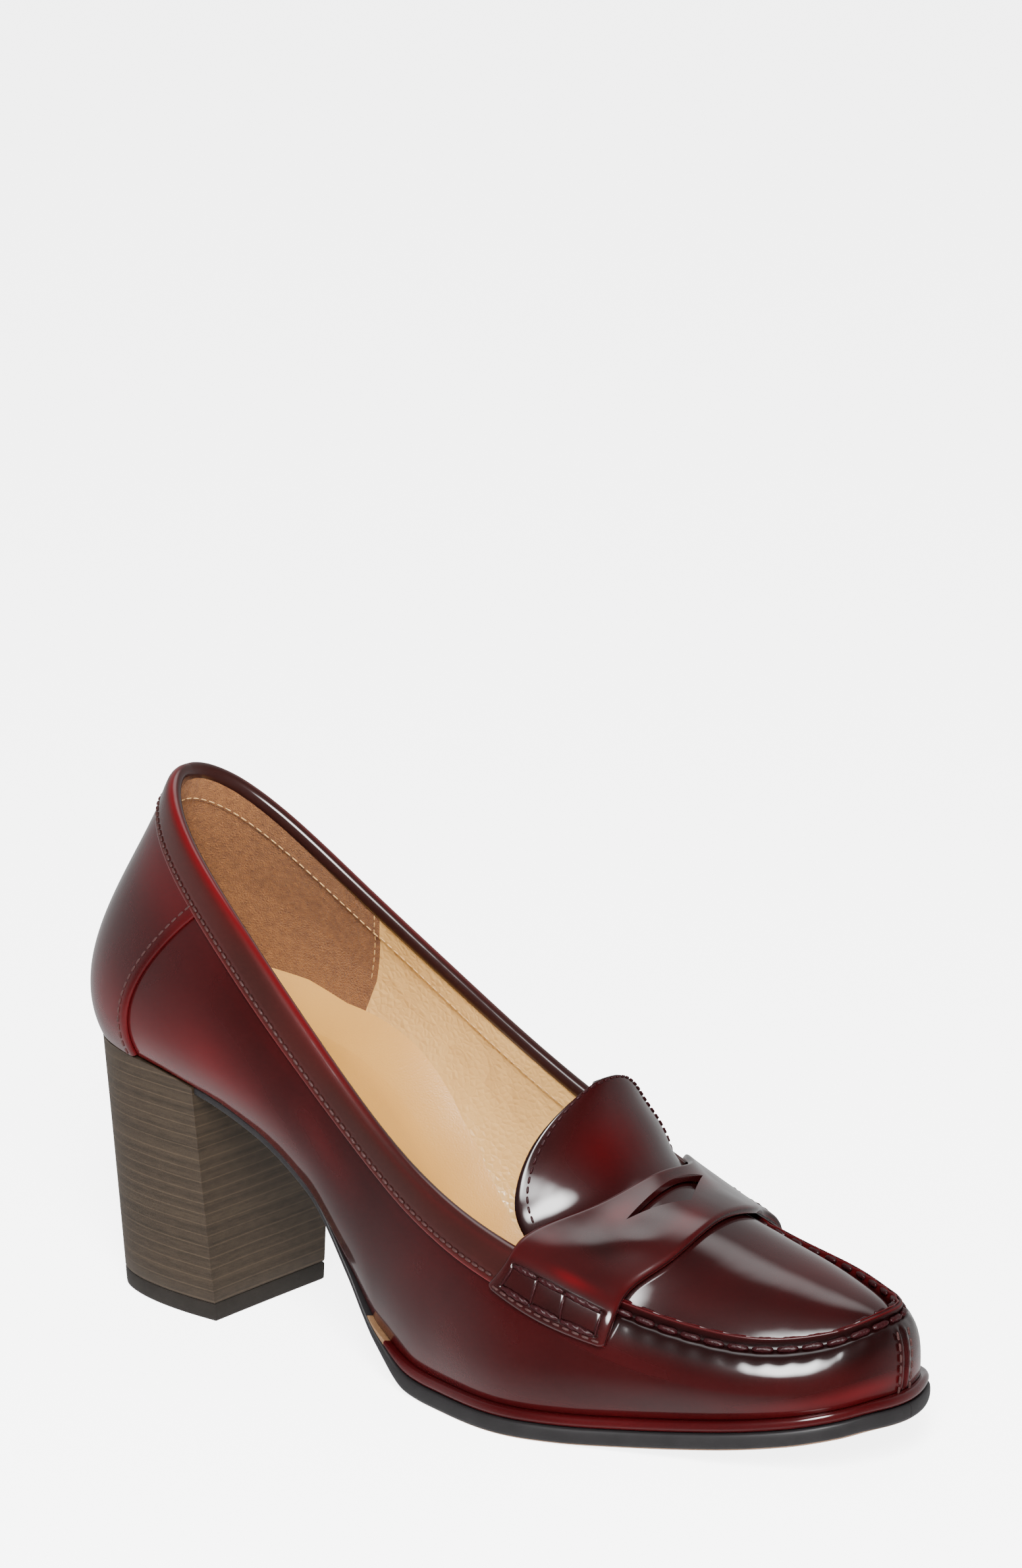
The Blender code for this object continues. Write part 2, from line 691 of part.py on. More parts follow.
def seat_outline(share):
    """Head of the heel, on the feather line: share 0 at its back, 1 at the breast."""
    last = float(turn_at(BREAST_TOP, FEATHER.low, FEATHER.high))
    first = 0.03
    turns = first + (last - first) * share
    return plate(turns, 0.0)


def heel_section(share, rise):
    """Edges of the heel's section: rise 0 at the floor, 1 under the seat."""
    foot_x, foot_half = heel_outline(share)
    outer, inner = seat_outline(share)
    edges = []
    for side, seat in ((-1.0, outer), (1.0, inner)):
        seat = seat.copy()
        seat[..., 2] -= GAP
        foot = np.stack([foot_x, side * foot_half, np.zeros_like(foot_x)], axis=-1)
        edges.append(foot + (seat - foot) * rise)
    return edges


def make_heel_stack():
    share = np.linspace(0.045, 1.0, 17)
    foot = heel_section(share, (TOP_LIFT + GAP) / SEAT_HEIGHT)
    head = heel_section(share, 1.0)
    over = across_plate(head, lambda x: feather_height(x) - GAP, 3)
    under = across_plate(foot, level(TOP_LIFT + GAP), 3)
    return shell("heel_stack", over, under, False, STACK_BROWN, 0.45)


def make_top_lift():
    share = np.linspace(0.045, 1.0, 17)
    foot = heel_section(share, 0.0)
    head = heel_section(share, TOP_LIFT / SEAT_HEIGHT)
    over = across_plate(head, level(TOP_LIFT), 3)
    under = across_plate(foot, level(0.0), 3)
    return shell("top_lift", over, under, False, CHARCOAL, 0.6)


def centre_on_box(pieces, guides):
    """Moves every mesh so that the origin is under the middle of the shoe's box."""
    points = np.array([vertex.co[:] for piece in pieces for vertex in piece.data.vertices])
    middle = 0.5 * (points.min(axis=0) + points.max(axis=0))
    for piece in pieces + guides:
        for vertex in piece.data.vertices:
            vertex.co.x -= middle[0]
            vertex.co.y -= middle[1]


strap = make_strap()
slot_cutter = make_slot_cutter()
cut(strap, slot_cutter)
shoe = [
    make_outsole(),
    make_welt(),
    make_heel_stack(),
    make_top_lift(),
    make_insole(),
    make_upper(),
    make_counter(),
    make_collar_band(),
    make_apron(),
    strap,
]
centre_on_box(shoe, [slot_cutter])
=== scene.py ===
import math

import bpy
import numpy as np
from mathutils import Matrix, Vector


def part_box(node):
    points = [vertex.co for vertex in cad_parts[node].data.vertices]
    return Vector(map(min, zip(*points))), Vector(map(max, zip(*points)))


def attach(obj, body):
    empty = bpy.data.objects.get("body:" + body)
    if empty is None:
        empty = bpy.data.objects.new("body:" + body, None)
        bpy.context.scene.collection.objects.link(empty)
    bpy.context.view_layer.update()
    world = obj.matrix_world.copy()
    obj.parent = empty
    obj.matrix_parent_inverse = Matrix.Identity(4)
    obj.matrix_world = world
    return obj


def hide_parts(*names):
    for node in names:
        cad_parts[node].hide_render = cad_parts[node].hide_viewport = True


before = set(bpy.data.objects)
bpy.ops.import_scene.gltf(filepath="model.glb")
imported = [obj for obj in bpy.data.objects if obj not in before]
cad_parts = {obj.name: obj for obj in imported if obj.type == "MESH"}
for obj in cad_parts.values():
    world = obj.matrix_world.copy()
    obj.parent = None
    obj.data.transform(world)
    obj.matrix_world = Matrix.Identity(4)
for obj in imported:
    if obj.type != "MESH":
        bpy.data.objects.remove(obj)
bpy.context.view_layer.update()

# Upper. One hollow wall of burgundy leather about 2 mm thick, pulled over the
# last and joined up the front of the toe. Its front edge stands up as the outer
# ply of the moccasin seam. The last's two rails are shared by all the pieces.
MM = 0.001
# Lengths are in mm from the last's own zero, which the frame's heel and sole give
BREAST_GAP_X = 42.1
breast_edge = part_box("outsole")[0].x / MM
lift_low, lift_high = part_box("top_lift")
HOME = np.array([BREAST_GAP_X - breast_edge, -0.5 * (lift_low.y + lift_high.y) / MM, 0.0])
LENGTH = 220.0
BALL_WIDTH = 80.0
SEAT_HEIGHT = 63.0
BACK_HEIGHT = 126.0
BALL_STACK = 6.7
TOE_SPRING = 10.0

FEATHER_NAMES = ("along", "centre", "half", "arch", "spring")
FEATHER_ROWS = (
    (0.0060, 0.000, 0.000, 1.000, 0.00),
    (0.1136, 0.000, 0.303, 0.970, 0.00),
    (0.2045, -0.004, 0.334, 0.905, 0.00),
    (0.2727, -0.011, 0.330, 0.805, 0.00),
    (0.3409, -0.022, 0.308, 0.610, 0.00),
    (0.4000, -0.034, 0.297, 0.315, 0.00),
    (0.4477, -0.040, 0.314, 0.100, 0.00),
    (0.5091, -0.034, 0.374, 0.008, 0.00),
    (0.5400, -0.028, 0.405, 0.000, 0.00),
    (0.6364, -0.006, 0.488, 0.000, 0.00),
    (0.7045, 0.019, 0.480, 0.000, 0.03),
    (0.7727, 0.035, 0.438, 0.000, 0.14),
    (0.8636, 0.031, 0.373, 0.000, 0.40),
    (0.9318, 0.023, 0.297, 0.000, 0.66),
    (0.9773, 0.017, 0.192, 0.000, 0.89),
    (1.0000, 0.015, 0.000, 0.000, 1.00),
)
TOP_NAMES = ("along", "centre", "half", "outer", "inner")
TOP_ROWS = (
    (0.0750, 0.019, 0.000, 1.000, 1.000),
    (0.1591, 0.006, 0.234, 0.885, 0.893),
    (0.2545, -0.012, 0.301, 0.766, 0.769),
    (0.3636, -0.021, 0.341, 0.607, 0.642),
    (0.4682, -0.028, 0.372, 0.463, 0.528),
    (0.5682, -0.031, 0.400, 0.373, 0.430),
    (0.6591, -0.031, 0.404, 0.321, 0.357),
    (0.7591, -0.018, 0.365, 0.262, 0.299),
    (0.8364, -0.011, 0.320, 0.237, 0.278),
    (0.8932, -0.005, 0.268, 0.230, 0.270),
    (0.9477, 0.005, 0.176, 0.242, 0.266),
    (0.9864, 0.015, 0.000, 0.268, 0.268),
)
SWELL_NAMES = ("along", "low_outer", "high_outer", "low_inner", "high_inner")
SWELL_ROWS = (
    (0.00, 15.5, 1.0, 15.5, 1.0),
    (0.12, 13.5, 2.5, 13.5, 2.5),
    (0.23, 10.0, 4.5, 10.5, 4.0),
    (0.36, 7.5, 4.5, 9.5, 4.0),
    (0.48, 6.5, 6.0, 9.0, 5.0),
    (0.64, 6.0, 7.0, 5.5, 5.5),
    (0.77, 5.0, 7.5, 4.0, 5.0),
    (0.89, 4.5, 7.0, 2.5, 4.0),
    (0.96, 3.0, 5.0, 1.5, 3.2),
    (1.00, 1.5, 3.0, 1.5, 3.0),
)


def column(rows, names, name):
    return np.array([row[names.index(name)] for row in rows], dtype=float)


def spline(stations, values):
    """Smooth curve through a table's rows, straight at its two ends."""
    stations = np.asarray(stations, dtype=float)
    values = np.asarray(values, dtype=float)
    count = len(stations)
    step = np.diff(stations)
    matrix = np.eye(count)
    target = np.zeros(count)
    for row in range(1, count - 1):
        before = step[row - 1]
        after = step[row]
        matrix[row, row - 1:row + 2] = before, 2.0 * (before + after), after
        rise = (values[row + 1] - values[row]) / after
        target[row] = 6.0 * (rise - (values[row] - values[row - 1]) / before)
    bend = np.linalg.solve(matrix, target)

    def read(place):
        place = np.asarray(place, dtype=float)
        low = np.clip(np.searchsorted(stations, place) - 1, 0, count - 2)
        wide = step[low]
        left = (stations[low + 1] - place) / wide
        right = (place - stations[low]) / wide
        sag = (left ** 3 - left) * bend[low] + (right ** 3 - right) * bend[low + 1]
        return left * values[low] + right * values[low + 1] + sag * wide * wide / 6.0

    return read


def steady(stations, values):
    """Curve through a table's rows that never swings past them, so flats stay flat."""
    stations = np.asarray(stations, dtype=float)
    values = np.asarray(values, dtype=float)
    step = np.diff(stations)
    rise = np.diff(values) / step
    slope = np.zeros(len(stations))
    for row in range(1, len(stations) - 1):
        if rise[row - 1] * rise[row] > 0.0:
            weight = step[row - 1] + 2.0 * step[row], 2.0 * step[row - 1] + step[row]
            slope[row] = sum(weight) / (weight[1] / rise[row - 1] + weight[0] / rise[row])

    def read(place):
        place = np.clip(np.asarray(place, dtype=float), stations[0], stations[-1])
        low = np.clip(np.searchsorted(stations, place) - 1, 0, len(step) - 1)
        t = (place - stations[low]) / step[low]
        start = (1.0 + 2.0 * t) * (1.0 - t) ** 2 * values[low] + t * (1.0 - t) ** 2 * step[low] * slope[low]
        end = t * t * (3.0 - 2.0 * t) * values[low + 1] - t * t * (1.0 - t) * step[low] * slope[low + 1]
        return start + end

    return read


def turn_at(x, low, high):
    """Angle on the half circle that stands over the length from low to high."""
    share = np.clip((np.asarray(x, dtype=float) - low) / (high - low), 0.0, 1.0)
    return np.arccos(1.0 - 2.0 * share)


def mirrored(turn, values):
    """Smooth curve over the half turn, level at the back and at the toe."""
    stations = np.concatenate([[-turn[1]], turn, [2.0 * math.pi - turn[-2]]])
    return spline(stations, np.concatenate([[values[1]], values, [values[-2]]]))


def folded(angle):
    """Angle along the length, and the side: -1 outer, +1 inner."""
    angle = np.mod(np.asarray(angle, dtype=float), 2.0 * math.pi)
    outer = angle <= math.pi
    return np.where(outer, angle, 2.0 * math.pi - angle), np.where(outer, -1.0, 1.0)


class Rail:
    """Closed line round the shoe: angle 0 at the back, half a turn at the toe."""

    def __init__(self, rows, names, back_radius, toe_radius):
        along = column(rows, names, "along") * LENGTH
        self.low = along[0]
        self.high = along[-1]
        turn = turn_at(along, self.low, self.high)
        half = column(rows, names, "half") * BALL_WIDTH
        reach = self.high - self.low
        full = half.copy()
        full[1:-1] = half[1:-1] / np.sin(turn[1:-1])
        full[0] = math.sqrt(back_radius * reach / 2.0)
        full[-1] = math.sqrt(toe_radius * reach / 2.0)
        self.full = mirrored(turn, full)
        self.centre = mirrored(turn, column(rows, names, "centre") * BALL_WIDTH)

    def plan(self, angle):
        turn, side = folded(angle)
        x = self.low + (self.high - self.low) * (1.0 - np.cos(turn)) / 2.0
        return x, self.centre(turn) + side * self.full(turn) * np.sin(turn)

    def angle(self, x, side):
        turn = turn_at(x, self.low, self.high)
        return turn if side < 0 else 2.0 * math.pi - turn


FEATHER = Rail(FEATHER_ROWS, FEATHER_NAMES, back_radius=26.5, toe_radius=20.5)
TOP = Rail(TOP_ROWS, TOP_NAMES, back_radius=13.0, toe_radius=19.0)
feather_along = column(FEATHER_ROWS, FEATHER_NAMES, "along") * LENGTH
arch_curve = steady(feather_along, column(FEATHER_ROWS, FEATHER_NAMES, "arch"))
spring_curve = steady(feather_along, column(FEATHER_ROWS, FEATHER_NAMES, "spring"))
top_turn = turn_at(column(TOP_ROWS, TOP_NAMES, "along") * LENGTH, TOP.low, TOP.high)
outer_height = mirrored(top_turn, column(TOP_ROWS, TOP_NAMES, "outer") * BACK_HEIGHT)
inner_height = mirrored(top_turn, column(TOP_ROWS, TOP_NAMES, "inner") * BACK_HEIGHT)
swell_along = column(SWELL_ROWS, SWELL_NAMES, "along")
swell = {name: spline(swell_along, column(SWELL_ROWS, SWELL_NAMES, name)) for name in SWELL_NAMES[1:]}


def feather_height(x):
    """Height of the line where the upper meets what is under it."""
    return BALL_STACK + arch_curve(x) * (SEAT_HEIGHT - BALL_STACK) + spring_curve(x) * TOE_SPRING


def feather_point(angle):
    x, y = FEATHER.plan(angle)
    return np.stack([x, y, feather_height(x)], axis=-1)


def top_point(angle):
    x, y = TOP.plan(angle)
    turn, side = folded(angle)
    share = 0.5 + 0.5 * side * np.minimum(1.0, np.sin(turn) / 0.35)
    z = outer_height(turn) * (1.0 - share) + inner_height(turn) * share
    return np.stack([x, y, z], axis=-1)


def eased(value, start, full):
    t = np.clip((value - start) / (full - start), 0.0, 1.0)
    return t * t * (3.0 - 2.0 * t)


SEAM_START = 146.0
SEAM_FULL = 162.0


def seam_share(angle):
    """0 along the collar, 1 along the moccasin seam."""
    return eased(top_point(angle)[..., 0], SEAM_START, SEAM_FULL)


def wall_point(angle, rise):
    """Outer skin of the upper: rise 0 at the feather line, 1 at the top line."""
    step = 0.002
    foot = feather_point(angle)
    head = top_point(angle)
    ahead = feather_point(angle + step) + top_point(angle + step)
    behind = feather_point(angle - step) + top_point(angle - step)
    run = (ahead - behind)[..., :2]
    run = run / np.linalg.norm(run, axis=-1, keepdims=True)
    turn, side = folded(angle)
    along = (1.0 - np.cos(turn)) / 2.0
    low = np.where(side < 0, swell["low_outer"](along), swell["low_inner"](along))
    high = np.where(side < 0, swell["high_outer"](along), swell["high_inner"](along))
    out = 3.0 * rise * (1.0 - rise) ** 2 * low + 3.0 * rise * rise * (1.0 - rise) * high
    point = foot + (head - foot) * np.asarray(rise)[..., None]
    point[..., 0] += run[..., 1] * out
    point[..., 1] -= run[..., 0] * out
    return point


def skin(angle, rise, lift):
    """Point off the outer skin, lift mm along its outward direction."""
    angle = np.asarray(angle, dtype=float)
    rise = np.asarray(rise, dtype=float)
    step = 0.004
    around = wall_point(angle + step, rise) - wall_point(angle - step, rise)
    above = wall_point(angle, np.minimum(rise + step, 1.0))
    below = wall_point(angle, np.maximum(rise - step, 0.0))
    out = np.cross(around, above - below)
    out = out / np.linalg.norm(out, axis=-1, keepdims=True)
    return wall_point(angle, rise) + out * np.asarray(lift)[..., None]


def rise_below(angle, drop):
    """Rise of the point that lies drop mm below the top line."""
    length = np.linalg.norm(top_point(angle) - feather_point(angle), axis=-1)
    return 1.0 - drop / length


def in_frame(points):
    """Metres in the frame, from mm in the last's own place."""
    return (np.asarray(points) - HOME) * MM


def dressed(name, mesh, node=None):
    """A mesh as a piece of the shoe and the solid that it replaces."""
    made = bpy.data.objects.new(name, mesh)
    bpy.context.scene.collection.objects.link(made)
    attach(made, "root")
    if node:
        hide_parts(node)
    return made


def piece(name, sections, marks, finish, node=None, closed_rows=False, axis=1, sharp=50.0):
    """A closed skin over sections of points in mm, with its marks as attributes."""
    points = np.stack(sections, axis=axis)
    rows, columns = points.shape[:2]
    index = np.arange(rows * columns).reshape(rows, columns)
    after_row = np.roll(index, -1, axis=0)
    quads = np.stack([index, after_row, np.roll(after_row, -1, axis=1), np.roll(index, -1, axis=1)], axis=-1)
    quads = quads if closed_rows else quads[:-1]
    quads = quads.reshape(-1, 4)
    place = in_frame(points.reshape(-1, 3))
    a, b, c, d = [place[quads[:, k]] for k in range(4)]
    volume = np.einsum("ij,ij->", a, np.cross(b, c)) + np.einsum("ij,ij->", a, np.cross(c, d))
    faces = quads.tolist()
    if not closed_rows:
        faces.append(index[0][::-1].tolist())
        faces.append(index[-1].tolist())
    if volume < 0.0:
        faces = [face[::-1] for face in faces]
    mesh = bpy.data.meshes.new(name)
    mesh.from_pydata(place.tolist(), [], faces)
    for mark, values in marks.items():
        layer = mesh.attributes.new(mark, "FLOAT", "POINT")
        layer.data.foreach_set("value", np.stack(values, axis=axis).astype(np.float32).ravel())
    mesh.shade_smooth()
    mesh.set_sharp_from_angle(angle=math.radians(sharp))
    mesh.materials.append(finish)
    return dressed(name, mesh, node)


def feed(node, inputs):
    """Set a node's inputs: a socket is linked, anything else is the input's value."""
    for key, value in inputs.items():
        if isinstance(value, bpy.types.NodeSocket):
            node.id_data.links.new(value, node.inputs[key])
        else:
            node.inputs[key].default_value = value


def grow(tree, kind, inputs, output=0, **settings):
    """Add a node with its settings and inputs; gives one of its outputs."""
    node = tree.nodes.new(kind)
    for key, value in settings.items():
        setattr(node, key, value)
    feed(node, inputs)
    return node.outputs[output]


def worked(tree, operation, *values, **settings):
    return grow(tree, "ShaderNodeMath", dict(enumerate(values)), operation=operation, **settings)


def noise(tree, place, scale, detail, roughness=0.5):
    inputs = {"Vector": place, "Scale": scale, "Detail": detail, "Roughness": roughness}
    return grow(tree, "ShaderNodeTexNoise", inputs, "Fac")


def blend(tree, share, first, second):
    inputs = {"Factor": share, "A": (*first, 1.0), "B": (*second, 1.0)}
    return grow(tree, "ShaderNodeMix", inputs, "Result", data_type="RGBA")


def ranged(tree, value, low, high, low_out, high_out, way="LINEAR"):
    inputs = {"Value": value, "From Min": low, "From Max": high, "To Min": low_out, "To Max": high_out}
    return grow(tree, "ShaderNodeMapRange", inputs, "Result", interpolation_type=way)


def bump(tree, height, strength, depth, under=None):
    """Bump of a height map, depth in metres, over another bump if one is given."""
    inputs = {"Height": height, "Strength": strength, "Distance": depth}
    if under is not None:
        inputs["Normal"] = under
    return grow(tree, "ShaderNodeBump", inputs, "Normal")


def new_finish(name):
    """A new material, its node tree, its shader and the object's coordinates."""
    made = bpy.data.materials.new(name)
    made.use_nodes = True
    tree = made.node_tree
    return made, tree, tree.nodes["Principled BSDF"], grow(tree, "ShaderNodeTexCoord", {}, "Object")


# Brushed-off leather: dark polish over a red ground, rubbed through on edges and seams
def leather(name, dark, red, base_red, gloss, mottle):
    """Red shows where the rub mark is high, and in soft clouds; the mark is rubbed-through wear, and painted
    shade where it is pulled low along the strap's sunken stitch lines.
    """
    made, tree, shader, place = new_finish(name)
    rub_and_shade = grow(tree, "ShaderNodeAttribute", {}, "Fac", attribute_name="rub_and_shade")
    raw = grow(tree, "ShaderNodeAttribute", {}, "Fac", attribute_name="raw")
    clouds = ranged(tree, noise(tree, place, 24.0, 3.0), 0.36, 0.70, base_red - mottle, base_red + mottle)
    redness = worked(tree, "ADD", clouds, rub_and_shade, use_clamp=True)
    waves = bump(tree, noise(tree, place, 95.0, 2.0), 0.10, 0.0009)
    creases = bump(tree, noise(tree, place, 420.0, 4.0), 0.05, 0.00022, waves)
    grain = bump(tree, noise(tree, place, 1500.0, 3.0), 0.05, 0.00005, creases)
    feed(shader, {
        "Base Color": blend(tree, redness, dark, red), "Roughness": 0.40, "Specular IOR Level": 0.06,
        "Normal": grain, "Coat Weight": worked(tree, "SUBTRACT", 1.0, raw), "Coat Roughness": gloss,
        "Coat IOR": 1.42, "Coat Normal": waves,
    })
    return made


DARK_WINE = (0.0050, 0.0009, 0.0009)
RED_WINE = (0.0720, 0.0012, 0.0026)
quarter_leather = leather("quarter_leather", DARK_WINE, RED_WINE, 0.07, 0.100, 0.06)


def bump_at(values, middle, width):
    """A soft hill of height 1 over a row of values."""
    return np.exp(-((values - middle) / width) ** 2)


def puckers(angles):
    """1 where the seam gathers the leather up, 0 under a stitch."""
    steps = np.linalg.norm(np.diff(top_point(angles), axis=0), axis=1)
    run = np.concatenate([[0.0], np.cumsum(steps)])
    return 0.5 + 0.5 * np.cos(2.0 * math.pi * run / SEAM_PITCH)


def edge_row(angles, drop, lift):
    """Row drop mm below the top line; a drop below 0 stands above it on the seam."""
    point = skin(angles, rise_below(angles, max(drop, 0.0)), lift)
    point[:, 2] -= min(drop, 0.0) * seam_share(angles)
    return point


UPPER_SKIN = 1.1
SEAM_PITCH = 5.45
SEAM_GROOVE = 1.05
UPPER_STEPS = 720
LOW_ROWS = 26
INNER_ROWS = 7
TOE_SEAM_X = 190.0
upper_angles = 2.0 * math.pi * np.arange(UPPER_STEPS) / UPPER_STEPS
upper_turn = folded(upper_angles)[0]
upper_seam = seam_share(upper_angles)
pucker = puckers(upper_angles)
toe_seam_y = skin(upper_angles, 0.5, 0.0)[:, 1] - TOP.centre(math.pi)
toe_side = np.where(top_point(upper_angles)[:, 0] > TOE_SEAM_X, toe_seam_y, 99.0)
toe_valley = -0.5 * bump_at(toe_side, 0.0, 0.3) + 0.4 * bump_at(np.abs(toe_side), 1.2, 0.7)
# Drop below the top line, lift on the seam and lift on the collar, rub
UPPER_EDGE = (
    (11.0, 0.02, 0.00, 0.04), (9.0, 0.02, 0.00, 0.04), (7.0, 0.00, 0.00, 0.00), (5.6, -0.04, 0.00, -0.04),
    (4.5, -0.10, 0.00, -0.10), (3.6, -0.18, 0.00, -0.14), (2.9, -0.30, 0.00, -0.18),
    (2.3, -0.50, 0.00, -0.20), (1.8, -0.84, 0.00, -0.22), (1.4, -1.28, 0.00, -0.25),
    (1.05, -1.60, 0.00, -0.25), (0.7, -1.60, 0.00, -0.20), (0.35, -1.15, 0.00, -0.10),
    (0.10, -0.78, -0.02, -0.05), (0.0, -0.62, -0.05, -0.05), (-0.45, -0.58, -0.15, 0.00),
    (-0.80, -0.64, -0.25, 0.20), (-1.02, -0.82, -0.35, 0.55), (-1.25, -1.10, -0.50, 0.10),
    (-1.58, -1.46, -0.70, 0.10),
)
# Drop and lift on the seam, down the wall's inner face
UPPER_INSIDE = (
    (-1.45, -1.60), (-0.60, -1.68), (0.4, -1.80), (1.4, -2.60), (2.4, -2.90), (4.0, -2.30), (7.0, -1.40),
    (11.0, -1.10),
)
# Where the red ground is rubbed through: half turn, share of the height, widths, amount
RED_PATCHES = (
    (0.98, 0.34, 0.20, 0.30, 0.30), (0.66, 0.16, 0.16, 0.24, 0.22), (1.30, 0.80, 0.10, 0.16, 0.10),
    (2.10, 0.30, 0.20, 0.40, -0.05), (2.60, 0.40, 0.16, 0.30, 0.18), (2.92, 0.46, 0.22, 0.40, 0.42),
    (2.30, 0.05, 0.40, 0.16, 0.08),
)
shoulder = rise_below(upper_angles, UPPER_EDGE[0][0])
level_ground = np.zeros(UPPER_STEPS)
sections = []
rub_and_shade_rows = []
raws = []
for low in range(LOW_ROWS):
    share = low / LOW_ROWS
    sections.append(skin(upper_angles, shoulder * share, toe_valley * eased(share, 0.0, 0.12)))
    red = 0.10 * bump_at(share, 0.0, 0.12) + 0.03 - 0.03 * eased(upper_seam, 0.0, 1.0)
    for middle, level, wide, high, amount in RED_PATCHES:
        red = red + amount * bump_at(upper_turn, middle, wide) * bump_at(share, level, high)
    rub_and_shade_rows.append(red)
    raws.append(level_ground)
for drop, on_seam, on_collar, rub_and_shade in UPPER_EDGE:
    gathers = 0.16 * (pucker - 0.5) * bump_at(drop, 3.0, 1.3)
    valley = toe_valley * eased(drop, 2.2, 4.5)
    lift = upper_seam * (on_seam + gathers + valley) + (1.0 - upper_seam) * on_collar
    sections.append(edge_row(upper_angles, drop, lift))
    rub_and_shade_rows.append(upper_seam * rub_and_shade + (1.0 - upper_seam) * 0.05)
    raws.append(0.8 * upper_seam * (drop < 2.2))
for drop, on_seam in UPPER_INSIDE:
    lift = upper_seam * on_seam - (1.0 - upper_seam) * UPPER_SKIN
    sections.append(edge_row(upper_angles, drop, lift))
    rub_and_shade_rows.append(level_ground - 0.2)
    raws.append(level_ground)
for low in range(INNER_ROWS - 1, -1, -1):
    sections.append(skin(upper_angles, shoulder * low / INNER_ROWS, -UPPER_SKIN))
    rub_and_shade_rows.append(level_ground)
    raws.append(level_ground)
for point in sections:
    point[:, 2] = np.maximum(point[:, 2], feather_height(point[:, 0]) - 0.05)
upper_marks = {"rub_and_shade": rub_and_shade_rows, "raw": raws}
piece("upper", sections, upper_marks, quarter_leather, "upper", closed_rows=True)


# Lining. Smooth tan leather inside the wall, with a suede grip round the heel,
# and a facing strip along the collar that is stitched on its lower edge.
def tan_leather(name, colour, shade, clouds, pores, pore_depth, gloss, nap):
    """Undyed leather: open pores, or with nap the raised fibres of suede."""
    made, tree, shader, place = new_finish(name)
    cells = grow(tree, "ShaderNodeTexVoronoi", {"Vector": place, "Scale": pores, "Randomness": 1.0},
                 "Distance", feature="DISTANCE_TO_EDGE")
    fibres = noise(tree, place, pores * (3.0 if nap else 0.5), 4.0)
    feed(shader, {
        "Base Color": blend(tree, noise(tree, place, clouds, 6.0), shade, colour), "Roughness": gloss,
        "Normal": bump(tree, worked(tree, "ADD", cells, fibres), 0.55, pore_depth),
        "Sheen Weight": nap, "Sheen Roughness": 0.5,
    })
    return made


lining_leather = tan_leather("lining_leather", (0.530, 0.310, 0.106), (0.445, 0.246, 0.076), 60.0, 600.0,
                             0.00060, 0.34, 0.0)
grip_suede = tan_leather("grip_suede", (0.235, 0.090, 0.020), (0.072, 0.021, 0.0035), 620.0, 1300.0,
                         0.00170, 0.90, 0.05)
LINING_OUT = 1.25
LINING_IN = 1.95
LINING_END_X = 150.0
LINING_FOOT = 0.035
GRIP_REACH = 0.965
lining_start = float(TOP.angle(LINING_END_X, 1)) - 2.0 * math.pi
lining_angles = np.linspace(lining_start, float(TOP.angle(LINING_END_X, -1)), 420)
# Wrinkles in the waist: turn, lean, width and depth
WRINKLES = (
    (1.16, 0.05, 0.014, 0.30), (1.24, 0.10, 0.018, 0.34), (1.31, 0.14, 0.015, 0.25),
    (1.40, 0.20, 0.020, 0.30), (1.52, 0.24, 0.022, 0.24), (1.62, 0.30, 0.018, 0.20),
)


def lining_lift(angles, rise, drop):
    """Inner face of the lining: the facing's step, the grip and the wrinkles."""
    turn = np.abs(angles)
    step = 0.45 * eased(drop, 8.45, 8.95)
    grip = 0.30 * (1.0 - eased(turn, GRIP_REACH - 0.012, GRIP_REACH + 0.012))
    waves = 0.0
    for middle, lean, width, depth in WRINKLES:
        waves = waves + depth * bump_at(turn - lean * (1.0 - rise), middle, width) * eased(drop, 9.0, 14.0)
    return -LINING_IN - grip + step + waves


lining_top = [1.7, 1.8, 2.1, 2.8, 4.5, 6.5, 7.8, 8.45, 8.55, 8.85, 9.0, 10.4, 12.0]
sections = []
for drop in np.concatenate([lining_top, np.linspace(14.0, 60.0, 26)]):
    rise = np.maximum(rise_below(lining_angles, drop), LINING_FOOT)
    sections.append(skin(lining_angles, rise, lining_lift(lining_angles, rise, drop)))
for drop in (60.0, 40.0, 20.0, 8.0, 2.2, 1.7):
    rise = np.maximum(rise_below(lining_angles, drop), LINING_FOOT)
    sections.append(skin(lining_angles, rise, -LINING_OUT))
lining = piece("lining", sections, {}, lining_leather)
lining.data.materials.append(grip_suede)
for face in lining.data.polygons:
    row = face.vertices[0] // len(sections)
    if face.loop_total == 4 and abs(lining_angles[row]) < GRIP_REACH:
        face.material_index = 1


# Collar band. A strip of the same leather, darker, folded over the topline from
# one end of the strap round the heel to the other, stitched along its lower edge.
band_leather = leather("band_leather", (0.0135, 0.0042, 0.0036), RED_WINE, 0.04, 0.080, 0.05)
BAND_INNER_X = 143.0
BAND_OUTER_X = 142.5
band_start = float(TOP.angle(BAND_INNER_X, 1)) - 2.0 * math.pi
band_angles = np.linspace(band_start, float(TOP.angle(BAND_OUTER_X, -1)), 640)
